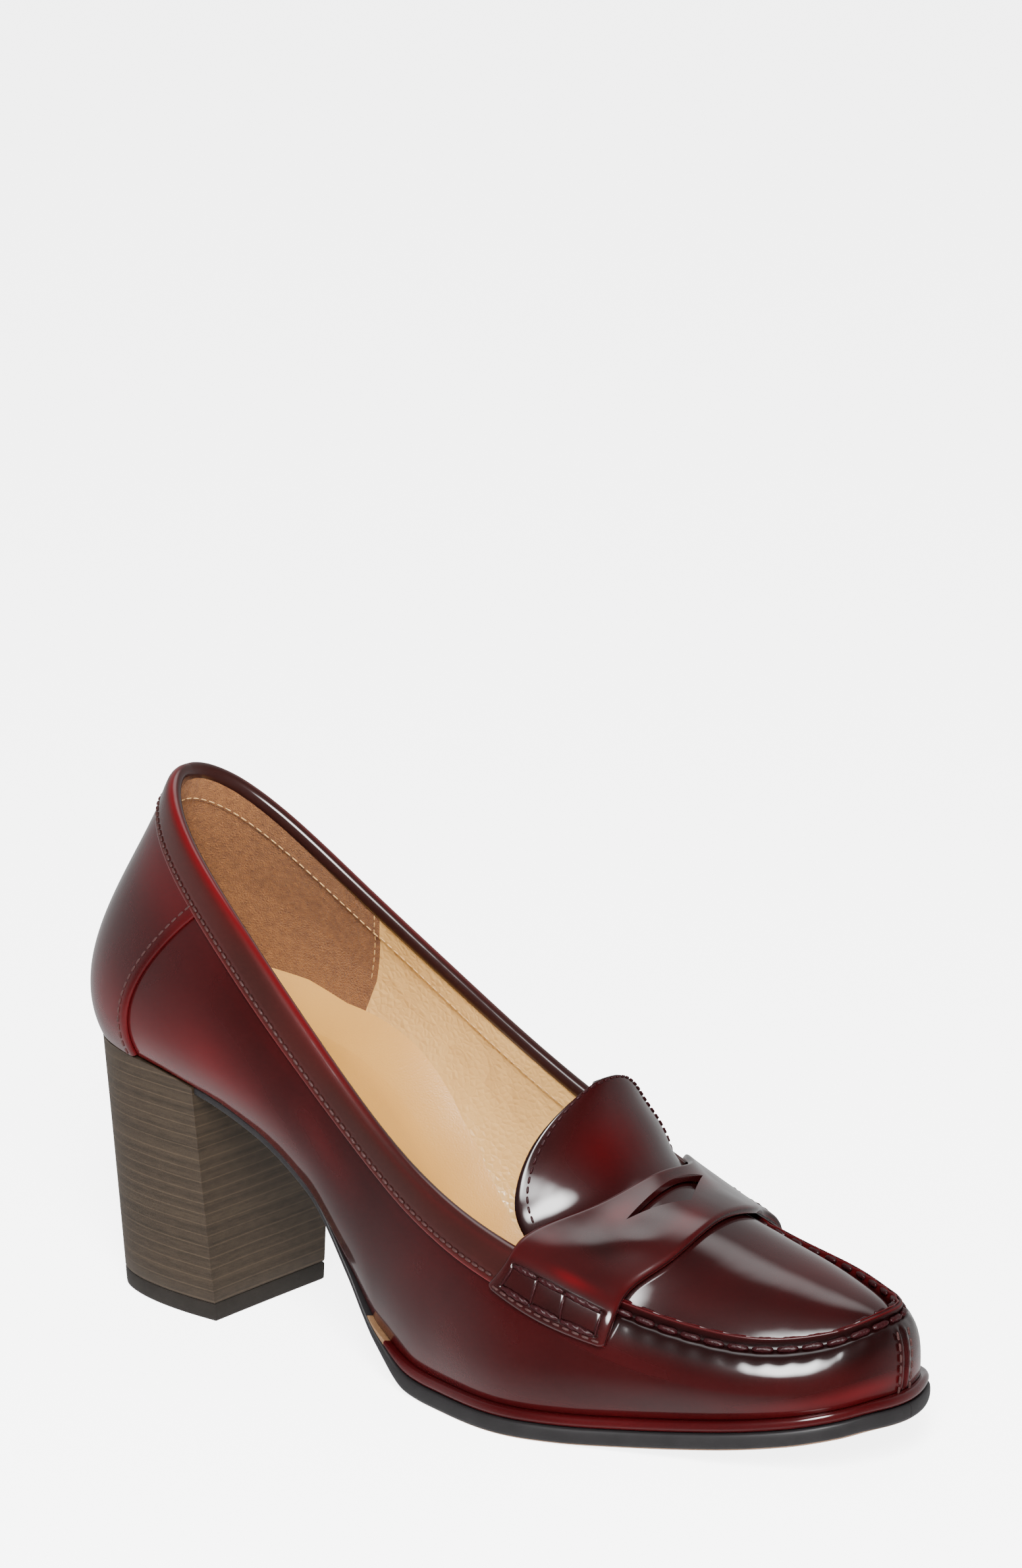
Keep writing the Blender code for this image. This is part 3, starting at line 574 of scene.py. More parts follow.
# Drop, lift and rub round the strip's section, from its lower edge over the fold
BAND_SECTION = (
    (8.35, 0.30, 0.5), (8.38, 0.70, 0.8), (8.30, 1.10, 1.0), (8.10, 1.32, 0.4), (7.80, 1.40, 0.10),
    (7.35, 1.40, 0.12), (7.05, 1.22, 0.00), (6.85, 1.22, 0.00), (6.5, 1.42, 0.05), (5.5, 1.50, 0.00),
    (4.0, 1.55, 0.00), (2.6, 1.50, 0.03), (1.6, 1.38, 0.10), (0.9, 1.15, 0.35), (0.3, 0.75, 0.75),
    (-0.15, 0.20, 0.80), (-0.42, -0.45, 0.35), (-0.35, -1.10, 0.00), (0.0, -1.70, -0.10),
    (0.55, -2.12, -0.10), (1.5, -2.42, -0.2), (2.5, -2.48, -0.2), (2.9, -2.15, -0.2), (2.6, -1.6, -0.2),
    (1.2, -1.25, 0.0), (0.6, -0.4, 0.0), (0.9, 0.2, 0.0), (3.0, 0.25, 0.0), (6.0, 0.25, 0.0),
)
sections = []
rub_and_shade_rows = []
for drop, lift, rub_and_shade in BAND_SECTION:
    point = skin(band_angles, rise_below(band_angles, max(drop, 0.0)), lift)
    point[:, 2] -= min(drop, 0.0)
    sections.append(point)
    fold = 1.0 if drop < 1.0 and lift > -1.0 else 0.0
    rub_and_shade_rows.append(rub_and_shade * (1.0 - 0.85 * fold * eased(point[:, 0], 62.0, 112.0)))
piece("collar_band", sections, {"rub_and_shade": rub_and_shade_rows}, band_leather, "collar_band")


# Counter. A second layer of leather round the back of the heel, cut wide under
# the band and at the seat, with a red cut edge and a row of stitches along it.
counter_leather = leather("counter_leather", DARK_WINE, RED_WINE, 0.09, 0.100, 0.07)
COUNTER_OUT = 1.25
COUNTER_IN = 0.12
COUNTER_TOP = 7.9
COUNTER_FOOT = 0.012


def counter_reach(height):
    """Half angle that the counter covers, from the seat to the band."""
    return 0.595 + 0.15 * height ** 1.6 + 0.05 * (1.0 - height) ** 3


def counter_rise(around, height):
    return COUNTER_FOOT + (rise_below(around, COUNTER_TOP) - COUNTER_FOOT) * height


counter_edges = np.concatenate([[-1.0, -0.996], np.linspace(-0.985, 0.985, 120), [0.996, 1.0]])
counter_heights = np.linspace(0.0, 1.0, 64)
counter_red = 0.26 * bump_at(counter_heights, 0.20, 0.24) + 0.14 * bump_at(counter_heights, 0.93, 0.14)
sections = []
rub_and_shade_rows = []
for edge in counter_edges:
    near = 1.0 - abs(edge)
    around = edge * counter_reach(counter_heights)
    lift = COUNTER_OUT - 0.75 * math.exp(-near / 0.006)
    sections.append(skin(around, counter_rise(around, counter_heights), lift))
    rub_and_shade_rows.append(0.16 * math.exp(-near / 0.003) + counter_red)
for edge in counter_edges[::-4]:
    around = edge * counter_reach(counter_heights)
    sections.append(skin(around, counter_rise(around, counter_heights), COUNTER_IN))
    rub_and_shade_rows.append(np.full_like(counter_red, 0.25))
piece("counter", sections, {"rub_and_shade": rub_and_shade_rows}, counter_leather, "counter")


# Apron and tongue. One plug of leather inside the moccasin seam; its edge turns
# up beside the wall as the seam's inner ply, and behind the strap it runs free.
TONGUE_NAMES = ("outer_x", "inner_x", "outer_y", "inner_y", "outer_z", "inner_z", "crown_x", "crown_z")
TONGUE_ROWS = (
    (139.3, 139.9, -3.5, 4.5, 73.0, 72.9, 140.1, 73.4),
    (137.0, 138.8, -12.0, 12.5, 68.6, 68.9, 141.0, 71.2),
    (134.6, 138.0, -18.5, 18.5, 62.6, 63.2, 142.4, 66.2),
    (133.0, 138.6, -22.8, 23.6, 55.6, 57.0, 144.7, 60.4),
    (133.4, 139.6, -25.8, 26.0, 48.2, 51.2, 148.6, 55.2),
    (138.0, 142.2, -27.4, 26.2, 41.2, 46.2, 155.0, 51.2),
)
CROWN_NAMES = ("along", "crown_x", "crown_z")
CROWN_ROWS = (
    (0.7000, 162.5, 48.2),
    (0.7600, 173.0, 45.4),
    (0.8150, 183.0, 42.4),
    (0.8650, 192.6, 39.8),
    (0.9100, 201.4, 37.4),
    (0.9500, 209.6, 35.2),
    (0.9760, 214.8, 33.4),
)
APRON_EDGE = 3.3
APRON = 1.7


def vault_rows():
    """Edge and crown points of apron and tongue, from tip to toe."""
    outer = []
    inner = []
    crown = []
    for row in TONGUE_ROWS:
        item = dict(zip(TONGUE_NAMES, row))
        outer.append((item["outer_x"], item["outer_y"], item["outer_z"]))
        inner.append((item["inner_x"], item["inner_y"], item["inner_z"]))
        crown.append((item["crown_x"], 0.5 * (item["outer_y"] + item["inner_y"]), item["crown_z"]))
    for row in CROWN_ROWS:
        item = dict(zip(CROWN_NAMES, row))
        edges = []
        for side in (-1, 1):
            angle = float(TOP.angle(item["along"] * LENGTH, side))
            edges.append(skin(angle, rise_below(angle, 0.3), -APRON_EDGE))
        outer.append(edges[0])
        inner.append(edges[1])
        crown.append((item["crown_x"], 0.5 * (edges[0][1] + edges[1][1]), item["crown_z"]))
    stations = np.arange(len(crown), dtype=float)
    curves = []
    for line in (outer, inner, crown):
        line = np.array(line, dtype=float)
        curves.append([spline(stations, line[:, axis]) for axis in range(3)])
    return curves, stations[-1]


VAULT, VAULT_END = vault_rows()


def vault_point(station, across):
    """Top skin of apron and tongue: across runs from -1 at the outer edge to 1."""
    outer, inner, crown = [np.stack([curve(station) for curve in line], axis=-1) for line in VAULT]
    across = np.asarray(across)[..., None]
    middle = 0.5 * (outer + inner)
    bow = 1.0 - np.abs(np.clip(across, -1.0, 1.0)) ** 2.2
    return middle + 0.5 * (inner - outer) * across + (crown - middle) * bow


def vault_skin(station, across, lift):
    station = np.asarray(station, dtype=float)
    across = np.asarray(across, dtype=float)
    step = 0.01
    ahead = vault_point(np.minimum(station + step, VAULT_END), across)
    behind = vault_point(np.maximum(station - step, 0.0), across)
    inward = vault_point(station, np.minimum(across + step, 1.0))
    outward = vault_point(station, np.maximum(across - step, -1.0))
    up = np.cross(ahead - behind, inward - outward)
    up = up / np.linalg.norm(up, axis=-1, keepdims=True)
    return vault_point(station, across) + up * np.asarray(lift)[..., None]


apron_leather = leather("apron_leather", (0.0056, 0.0011, 0.0011), RED_WINE, 0.10, 0.085, 0.07)
APRON_STEPS = 260
apron_stations = np.linspace(0.0, VAULT_END, APRON_STEPS)
apron_across = np.concatenate([[-1.0, -0.995, -0.985], np.linspace(-0.97, 0.97, 110), [0.985, 0.995, 1.0]])
tip_round = 0.5 * np.exp(-apron_stations / 0.05)
tip_dark = 0.2 * np.exp(-apron_stations / 0.08)
rim_red = 0.25 - 0.45 * (1.0 - eased(apron_stations, 4.6, 5.6))
tongue_red = 0.20 * bump_at(apron_stations, 3.0, 1.2)
crown_red = 0.16 * bump_at(apron_stations, 9.5, 1.6)
sections = []
rub_and_shade_rows = []
for across in apron_across:
    near = 1.0 - abs(across)
    sections.append(vault_skin(apron_stations, across, -0.55 * math.exp(-near / 0.010) - tip_round))
    red = tongue_red * bump_at(across, -0.15, 0.5) + crown_red * bump_at(across, 0.3, 0.45)
    rub_and_shade_rows.append(rim_red * math.exp(-near / 0.02) - tip_dark + red)
for across in apron_across[::-3]:
    near = 1.0 - abs(across)
    sections.append(vault_skin(apron_stations, across, 0.3 * math.exp(-near / 0.01) - APRON))
    rub_and_shade_rows.append(np.full(APRON_STEPS, -0.2))
piece("apron", sections, {"rub_and_shade": rub_and_shade_rows}, apron_leather, "apron")


# Apron edge. The rim of the same plug, turned up against the wall's edge as the
# seam's inner ply; its top is less polished and is gathered by the stitches.
RIDGE_END_X = 160.0
ridge_angles = np.linspace(float(TOP.angle(RIDGE_END_X, -1)), float(TOP.angle(RIDGE_END_X, 1)), 620)
ridge_pucker = puckers(ridge_angles)
# Drop below the top line, depth inside it and rub, from the joint over the top
RIDGE_SECTION = (
    (0.4, 1.95, -0.2), (-0.6, 1.80, -0.2), (-1.30, 1.66, -0.2), (-1.75, 1.72, 0.2), (-1.98, 1.90, 0.5),
    (-2.10, 2.20, 0.3), (-1.98, 2.52, 0.1), (-1.60, 2.72, 0.2), (-0.90, 2.82, 0.0), (-0.20, 2.95, -0.1),
    (0.30, 3.20, -0.1), (0.70, 3.70, -0.1), (1.0, 4.40, 0.0), (1.5, 4.9, 0.0), (2.6, 4.4, 0.0),
    (3.0, 3.4, 0.0), (1.6, 2.6, 0.0),
)
sections = []
rub_and_shade_rows = []
for drop, depth, rub_and_shade in RIDGE_SECTION:
    swing = 0.30 * (ridge_pucker - 0.5) * bump_at(drop, -1.6, 1.2)
    sections.append(edge_row(ridge_angles, drop, -depth - swing))
    rub_and_shade_rows.append(np.full(len(ridge_angles), rub_and_shade))
raws = [np.full(len(ridge_angles), 0.7)] * len(sections)
piece("apron_edge", sections, {"rub_and_shade": rub_and_shade_rows, "raw": raws}, apron_leather)


# Saddle strap. A curved strip over the instep with a three-cornered slot in its
# middle, sewn flat to the wall at each end with a stitched box.
STRAP_NAMES = ("outer_end", "inner_end", "outer_drop", "inner_drop", "cross_outer", "cross_inner", "middle")
STRAP_ROWS = (
    (138.5, 140.0, 9.2, 9.0, 141.0, 142.0, 153.4),
    (147.9, 148.6, 10.2, 9.6, 148.0, 148.8, 158.4),
    (156.4, 156.8, 10.0, 9.4, 155.6, 155.8, 165.0),
    (165.6, 165.8, 9.0, 8.6, 166.4, 166.2, 172.4),
)
STRAP = 1.6
CAD_GAP = 0.3
strap_stations = np.linspace(0.0, 1.0, len(STRAP_ROWS))
strap_read = {name: spline(strap_stations, column(STRAP_ROWS, STRAP_NAMES, name)) for name in STRAP_NAMES}
STRAP_KNOTS = np.array([-1.0, -0.86, -0.72, -0.4, 0.0, 0.4, 0.72, 0.86, 1.0])


def strap_path(value):
    """Nine points under the strap, from its outer to its inner end."""
    finer = np.linspace(0.0, VAULT_END, 241)
    at = {name: float(strap_read[name](value)) for name in STRAP_NAMES}
    station = float(np.interp(at["middle"], VAULT[2][0](finer), finer))
    edge_x = 0.5 * (at["cross_outer"] + at["cross_inner"])
    edge_station = float(np.interp(edge_x, VAULT[0][0](finer[80:]), finer[80:]))
    halves = []
    for side, part in ((-1, "outer"), (1, "inner")):
        low = float(TOP.angle(at[part + "_end"], side))
        high = float(TOP.angle(at["cross_" + part], side))
        foot = skin(low, rise_below(low, at[part + "_drop"]), CAD_GAP)
        knee = skin(high, rise_below(high, 3.4), CAD_GAP + 1.1)
        brow = skin(high, rise_below(high, 0.0), CAD_GAP) + np.array([0.0, -1.2 * side, 0.9])
        flank = vault_skin(0.4 * edge_station + 0.6 * station, side * 0.62, CAD_GAP + 0.7)
        halves.append([foot, knee, brow, flank])
    centre = vault_skin(station, 0.0, CAD_GAP + 0.4)
    return np.array([*halves[0], centre, *reversed(halves[1])], dtype=float)


STRAP_FINE = np.linspace(0.0, 1.0, 33)
strap_paths = np.array([strap_path(value) for value in STRAP_FINE])
strap_curves = [[spline(STRAP_FINE, strap_paths[:, knot, axis]) for axis in range(3)] for knot in range(9)]


def strap_bends(knots):
    """Second derivatives of the natural spline through each row of knots."""
    step = np.diff(STRAP_KNOTS)
    matrix = np.eye(9)
    for row in range(1, 8):
        matrix[row, row - 1:row + 2] = step[row - 1], 2.0 * (step[row - 1] + step[row]), step[row]
    rise = np.diff(knots, axis=-2) / step[:, None]
    target = np.zeros_like(knots)
    target[..., 1:8, :] = 6.0 * np.diff(rise, axis=-2)
    return np.einsum("ij,...jk->...ik", np.linalg.inv(matrix), target)


def strap_point(share, across):
    """Under skin of the strap: share 0 at its back edge, 1 at its front edge."""
    share, across = np.broadcast_arrays(np.asarray(share, dtype=float), np.asarray(across, dtype=float))
    low = np.clip(np.searchsorted(STRAP_KNOTS, across) - 1, 0, 7)
    knots = np.stack([np.stack([curve(share) for curve in line], axis=-1) for line in strap_curves], axis=-2)
    bends = strap_bends(knots)
    wide = (STRAP_KNOTS[low + 1] - STRAP_KNOTS[low])[..., None]
    point = 0.0
    for knot, away in ((low, STRAP_KNOTS[low + 1] - across), (low + 1, across - STRAP_KNOTS[low])):
        part = away[..., None] / wide
        pick = knot[..., None, None]
        at_knot = np.take_along_axis(knots, pick, axis=-2)[..., 0, :]
        bend = np.take_along_axis(bends, pick, axis=-2)[..., 0, :]
        point = point + part * at_knot + (part ** 3 - part) * bend * wide * wide / 6.0
    return point


def strap_skin(share, across, lift):
    """Point off the strap's under skin, lift mm upward."""
    step = 0.004
    along = strap_point(share + step, across) - strap_point(share - step, across)
    inward = strap_point(share, np.minimum(across + step, 1.0))
    outward = strap_point(share, np.maximum(across - step, -1.0))
    up = np.cross(along, inward - outward)
    up = up / np.linalg.norm(up, axis=-1, keepdims=True)
    return strap_point(share, across) + up * np.asarray(lift)[..., None]


# Soft dents that the instep leaves: share, across, widths, height
STRAP_DENTS = (
    (0.30, -0.46, 0.20, 0.10, -0.35), (0.70, -0.40, 0.16, 0.09, 0.25), (0.55, -0.30, 0.12, 0.06, -0.22),
    (0.25, -0.68, 0.22, 0.07, 0.18), (0.75, 0.25, 0.20, 0.10, 0.20), (0.35, 0.45, 0.20, 0.10, -0.20),
)


def strap_dents(share, across):
    dents = 0.0
    for at_share, at_across, wide, long, height in STRAP_DENTS:
        dents = dents + height * bump_at(share, at_share, wide) * bump_at(across, at_across, long)
    return dents


def settled(made):
    """The mesh that an object has after its modifiers."""
    bpy.context.view_layer.update()
    return bpy.data.meshes.new_from_object(made.evaluated_get(bpy.context.evaluated_depsgraph_get()))


strap_leather = leather("strap_leather", (0.0086, 0.0016, 0.0016), RED_WINE, 0.15, 0.105, 0.12)
BOX_LOW = 0.957
BOX_HIGH = 0.855
BOX_CORNERS = np.linspace(0.10, 0.92, 4)
# Where the strap is rubbed red or left dark: across, share, widths, amount
STRAP_PATCHES = (
    (-0.785, 0.66, 0.030, 0.16, 0.55), (-0.30, 0.30, 0.10, 0.14, 0.34), (-0.12, 0.82, 0.12, 0.14, 0.30),
    (0.30, 0.40, 0.20, 0.20, 0.26), (-0.52, 0.62, 0.08, 0.16, -0.10), (-0.64, 0.20, 0.06, 0.12, 0.14),
    (0.10, 0.14, 0.14, 0.10, -0.10), (0.62, 0.60, 0.12, 0.20, 0.14),
)
strap_shares = np.concatenate([[0.0, 0.006, 0.02], np.linspace(0.045, 0.955, 100), [0.98, 0.994, 1.0]])
strap_ends = np.linspace(0.8, 1.0, 50)
strap_across = np.concatenate([-strap_ends[::-1], np.linspace(-0.79, 0.79, 140), strap_ends])
end_round = 1.0 - np.minimum(1.0, (1.0 - np.abs(strap_across)) / 0.012)
sections = []
rub_and_shade_rows = []
for share in strap_shares:
    near = min(share, 1.0 - share)
    corner = 0.014 * np.clip(1.0 - near / 0.05, 0.0, 1.0) ** 2
    across = strap_across * (1.0 - corner)
    reach = np.abs(across)
    row = bump_at(reach, BOX_LOW, 0.007) + bump_at(reach, BOX_HIGH, 0.007)
    row = row * eased(share, 0.07, 0.10) * (1.0 - eased(share, 0.92, 0.95))
    cell = sum(bump_at(share, corner_share, 0.010) for corner_share in BOX_CORNERS)
    cell = cell * (reach > BOX_HIGH) * (reach < BOX_LOW)
    lift = STRAP - 0.55 * math.exp(-near / 0.012) - 0.5 * end_round ** 2 + strap_dents(share, across)
    sections.append(strap_skin(share, across, lift - 0.40 * row - 0.12 * cell))
    # Painted shade: the colour is pulled dark along the sunken box stitch lines (row) and cell lines (cell),
    # standing in for the shade in those grooves; the rest of this mark is rubbed wear and red patches.
    red = 0.15 * math.exp(-near / 0.03) - 0.16 * eased(reach, 0.81, 0.85) - 0.5 * row - 0.3 * cell
    for middle, level, long, wide, amount in STRAP_PATCHES:
        red = red + amount * bump_at(across, middle, long) * bump_at(share, level, wide)
    rub_and_shade_rows.append(red - 0.4 * math.exp(-near / 0.004))
for share in strap_shares[::-5]:
    sections.append(strap_skin(share, strap_across, 0.15))
    rub_and_shade_rows.append(np.full(len(strap_across), 0.3))
saddle_strap = piece("saddle_strap", sections, {"rub_and_shade": rub_and_shade_rows}, strap_leather, "saddle_strap")
# The slot's corners in plan: two at the back, the point ahead of them
SLOT_BACK = 157.8
SLOT_POINT = 164.9
SLOT_MIDDLE = -2.0
SLOT_HALF = 15.2
slot_corners = (
    (SLOT_BACK, SLOT_MIDDLE - SLOT_HALF), (SLOT_POINT, SLOT_MIDDLE), (SLOT_BACK, SLOT_MIDDLE + SLOT_HALF),
)
slot_points = in_frame([(x, y, z) for z in (30.0, 70.0) for x, y in slot_corners]).tolist()
slot_mesh = bpy.data.meshes.new("slot_cutter")
slot_mesh.from_pydata(slot_points, [], [(2, 1, 0), (3, 4, 5), (0, 1, 4, 3), (1, 2, 5, 4), (2, 0, 3, 5)])
slot_cutter = bpy.data.objects.new("slot_cutter", slot_mesh)
bpy.context.scene.collection.objects.link(slot_cutter)
slot_cut = saddle_strap.modifiers.new("slot", "BOOLEAN")
slot_cut.object = slot_cutter
slot_cut.solver = "EXACT"
cut_strap = settled(saddle_strap)
saddle_strap.modifiers.remove(slot_cut)
saddle_strap.data = cut_strap
bpy.data.objects.remove(slot_cutter)


# Insole. A padded sock of tan leather on the board, its edge rolled down against
# the lining all round.
sock_leather = tan_leather("sock_leather", (0.440, 0.220, 0.046), (0.390, 0.191, 0.038), 60.0, 1300.0,
                           0.00012, 0.42, 0.0)
INSOLE = 2.4
SOCK_ROLL = 9.0
sock_turns = np.concatenate([[0.0015, 0.015, 0.035], np.linspace(0.06, math.pi - 0.10, 217)])


def feather_way(angle):
    """Direction of the feather line in plan."""
    run = feather_point(angle + 0.002) - feather_point(angle - 0.002)
    return run[..., :2] / np.linalg.norm(run[..., :2], axis=-1, keepdims=True)


def moved_out(point, way, reach):
    """The point moved level, reach mm outward, square to its way."""
    moved = point.copy()
    moved[..., 0] += way[..., 1] * reach
    moved[..., 1] -= way[..., 0] * reach
    return moved


def plate_edges(turns, inset):
    """Outer and inner edge of a plate that keeps inset mm inside the feather line."""
    angles = (turns, 2.0 * math.pi - turns)
    return [moved_out(feather_point(angle), feather_way(angle), -inset) for angle in angles]


sock_edges = plate_edges(sock_turns, SOCK_ROLL)
heel_climb = 3.0 * (1.0 - eased(sock_turns, 0.1, 0.8))
sock_climb = []
for side, edge in zip((-1, 1), sock_edges):
    edge[:, 2] = feather_height(edge[:, 0]) + INSOLE
    angle = sock_turns if side < 0 else 2.0 * math.pi - sock_turns
    inner_climb = (6.8 if side > 0 else 0.0) * eased(sock_turns, 0.0, 0.6)
    climb = 3.4 + heel_climb + inner_climb * (1.0 - eased(edge[:, 0], 70.0, 195.0))
    height = top_point(angle)[:, 2] - feather_point(angle)[:, 2]
    sock_climb.append(skin(angle, climb / height, -LINING_IN - 0.35))


def rolled(edge, climb, share):
    """Row of the sock's rolled edge: share 0 on the flat, 1 against the lining."""
    point = edge + (climb - edge) * share
    point[:, 2] = edge[:, 2] + (climb - edge)[:, 2] * share ** 2.4
    return point


def sock_row(share, height):
    """Row of the sock's flat, height mm over the feather line: share 0 outer, 1 inner."""
    point = sock_edges[0] * (1.0 - share) + sock_edges[1] * share
    point[:, 2] = feather_height(point[:, 0]) + height
    return point


roll = np.linspace(1.0, 0.0, 12)
flat = np.linspace(0.0, 1.0, 20)[1:-1]
sections = [rolled(sock_edges[0], sock_climb[0], share) for share in roll]
sections += [sock_row(share, INSOLE - 0.5 * math.sin(math.pi * share)) for share in flat]
sections += [rolled(sock_edges[1], sock_climb[1], share) for share in roll[::-1]]
sections += [sock_row(share, 0.2) for share in (1.0, 0.5, 0.0)]
piece("insole", sections, {}, sock_leather, "insole")


# Welt. A rounded strip of burgundy leather between the wall and the sole, from
# the waist round the toe, polished to a bright line.
WELT = 2.2
WELT_START = 0.43
WELT_FULL = 0.50
WELT_CUT = 102.0
EDGE_REACH = 2.4
EDGE_TUCK = 0.4
REACH_START = 0.34
REACH_FULL = 0.46


def welt_height(x):
    return WELT * eased(x / LENGTH, WELT_START, WELT_FULL)


def edge_reach(x):
    return (EDGE_REACH + EDGE_TUCK) * eased(x / LENGTH, REACH_START, REACH_FULL) - EDGE_TUCK


def sole_top(x):
    height = welt_height(x)
    return feather_height(x) - CAD_GAP - height - CAD_GAP * np.minimum(1.0, height / WELT)


welt_leather = leather("welt_leather", (0.0060, 0.0008, 0.0009), RED_WINE, 0.20, 0.060, 0.08)
welt_first = float(turn_at((WELT_START + 0.006) * LENGTH, FEATHER.low, FEATHER.high))
welt_angles = np.linspace(welt_first, 2.0 * math.pi - welt_first, 700)
welt_rim = feather_point(welt_angles)
welt_way = feather_way(welt_angles)
welt_thick = welt_height(welt_rim[:, 0])


def welt_row(reach, rise):
    """Row of the welt, reach mm out of the feather line: rise 0.5 is its top."""
    point = moved_out(welt_rim, welt_way, reach)
    middle = 0.5 * (feather_height(point[:, 0]) + sole_top(point[:, 0]))
    point[:, 2] = middle + rise * (welt_thick + CAD_GAP)
    return point


sections = []
for turn in np.linspace(-0.5 * math.pi, 0.5 * math.pi, 13):
    reach = edge_reach(welt_rim[:, 0]) - 0.45 - 0.5 * welt_thick * (1.0 - math.cos(turn))
    sections.append(welt_row(reach, 0.52 * math.sin(turn)))
sections += [welt_row(-1.0, 0.48), welt_row(-1.0, -0.48)]
welt = piece("welt", sections, {}, welt_leather, "welt")
welt_end = tan_leather("welt_end", (0.130, 0.066, 0.027), (0.070, 0.034, 0.013), 900.0, 1500.0,
                       0.00020, 0.6, 0.0)
welt.data.materials.append(welt_end)
for face in welt.data.polygons:
    if welt_rim[face.vertices[0] // len(sections), 0] < WELT_CUT:
        face.material_index = 1


# Outsole. Charcoal rubber from the heel breast to the toe, its side slightly
# bowed, with a thin tan line where the tread sheet shows at its lower edge.
def rubber(name, colour, roughness, grit):
    """Filled rubber: fine specks of tone, and a grain as deep as grit, in metres."""
    made, tree, shader, place = new_finish(name)
    specks = noise(tree, place, 240.0, 8.0)
    dark = [0.75 * value for value in colour]
    pale = [1.25 * value for value in colour]
    feed(shader, {
        "Base Color": blend(tree, specks, dark, pale), "Roughness": roughness, "Specular IOR Level": 0.20,
        "Normal": bump(tree, specks, 0.4, grit),
    })
    return made


sole_rubber = rubber("sole_rubber", (0.0085, 0.0078, 0.0082), 0.46, 0.00010)
tread_sheet = rubber("tread_sheet", (0.100, 0.055, 0.030), 0.6, 0.00010)
SOLE_WAIST = 2.4
SOLE_BALL = 4.2
SOLE_TIP = 0.12
TIP_GAP = 0.0015
SOLE_INSET = 8.0
OUTER = 0
INNER = 1
sole_first = float(turn_at(BREAST_GAP_X, FEATHER.low, FEATHER.high))
sole_tip = math.pi - SOLE_TIP * np.linspace(1.0, 0.0, 40) ** 2 - TIP_GAP
sole_turns = np.concatenate([np.linspace(sole_first, math.pi - SOLE_TIP - TIP_GAP, 380)[:-1], sole_tip])
sole_x = feather_point(sole_turns)[:, 0]
# Share of the side's height from the bottom, and how far the side stands in, mm
SOLE_SIDE = (
    (0.00, 1.05), (0.05, 0.62), (0.13, 0.32), (0.14, 0.20), (0.3, 0.05), (0.5, 0.0), (0.7, 0.03),
    (0.86, 0.12), (0.95, 0.3), (1.0, 0.6),
)


def sole_bottom(x):
    """Underside of the sole, which touches the floor at the ball."""
    under_ball = BALL_STACK - 2.0 * CAD_GAP - WELT - SOLE_BALL
    thicker = (SOLE_BALL - SOLE_WAIST) * welt_height(x) / WELT
    return sole_top(x) - SOLE_WAIST - thicker - under_ball


def sole_row(share, inset, side):
    point = plate_edges(sole_turns, inset - edge_reach(sole_x))[side]
    point[0, 0] = BREAST_GAP_X
    low = sole_bottom(point[:, 0])
    high = sole_top(point[:, 0])
    point[:, 2] = low + (high - low) * share
    return point


sections = [sole_row(share, inset, OUTER) for share, inset in SOLE_SIDE]
sections += [sole_row(1.0, SOLE_INSET, OUTER), sole_row(1.0, SOLE_INSET, INNER)]
sections += [sole_row(share, inset, INNER) for share, inset in SOLE_SIDE[::-1]]
sections += [sole_row(0.0, SOLE_INSET, INNER), sole_row(0.0, SOLE_INSET, OUTER)]
outsole = piece("outsole", sections, {}, sole_rubber, "outsole", sharp=60.0)
outsole.data.materials.append(tread_sheet)
last_side = 2 * len(SOLE_SIDE) + 1
tread_rows = ({0, 1, 2}, {last_side - 2, last_side - 1, last_side})
for face in outsole.data.polygons:
    spots = {vertex % len(sections) for vertex in face.vertices}
    if face.loop_total == 4 and any(spots <= rows for rows in tread_rows):
        face.material_index = 1


# Heel. A tall block wrapped in stacked leather veneer: fine level lines of
# lighter and darker leather, a flat breast and a thin rubber top lift.
HEEL_BACK = 6.4
HEEL_BREAST = 45.0
HEEL_HALF = 20.7
BREAST_TOP = 41.8
TOP_LIFT = 4.3
LAYER = 2.7


def heel_outline(share):
    x = HEEL_BREAST + (HEEL_BACK - HEEL_BREAST) * np.cos(share * 0.5 * math.pi)
    t = (HEEL_BREAST - x) / (HEEL_BREAST - HEEL_BACK)
    return x, HEEL_HALF * (1.0 - t ** 2.1) ** (1.0 / 2.7)


def heel_ring(rise):
    """Closed outline of the heel at one height: 0 at the floor, 1 at the seat."""
    share = np.concatenate([np.linspace(0.0, 0.96, 60), [0.985, 1.0]])
    last = float(turn_at(BREAST_TOP, FEATHER.low, FEATHER.high))
    foot_x, foot_half = heel_outline(share)
    seats = plate_edges(0.004 + (last - 0.004) * share, -1.2 + 0.9 * eased(share, 0.5, 1.0))
    edges = []
    for side, seat in zip((-1.0, 1.0), seats):
        seat[:, 2] -= CAD_GAP
        foot = np.stack([foot_x, side * foot_half, np.zeros_like(foot_x)], axis=-1)
        edges.append(foot + (seat - foot) * rise)
    outer, inner = edges
    breast = np.linspace(0.0, 1.0, 12)[1:-1, None]
    across = outer[-1] * (1.0 - breast) + inner[-1] * breast
    return np.concatenate([outer, across, inner[::-1][:-1]])


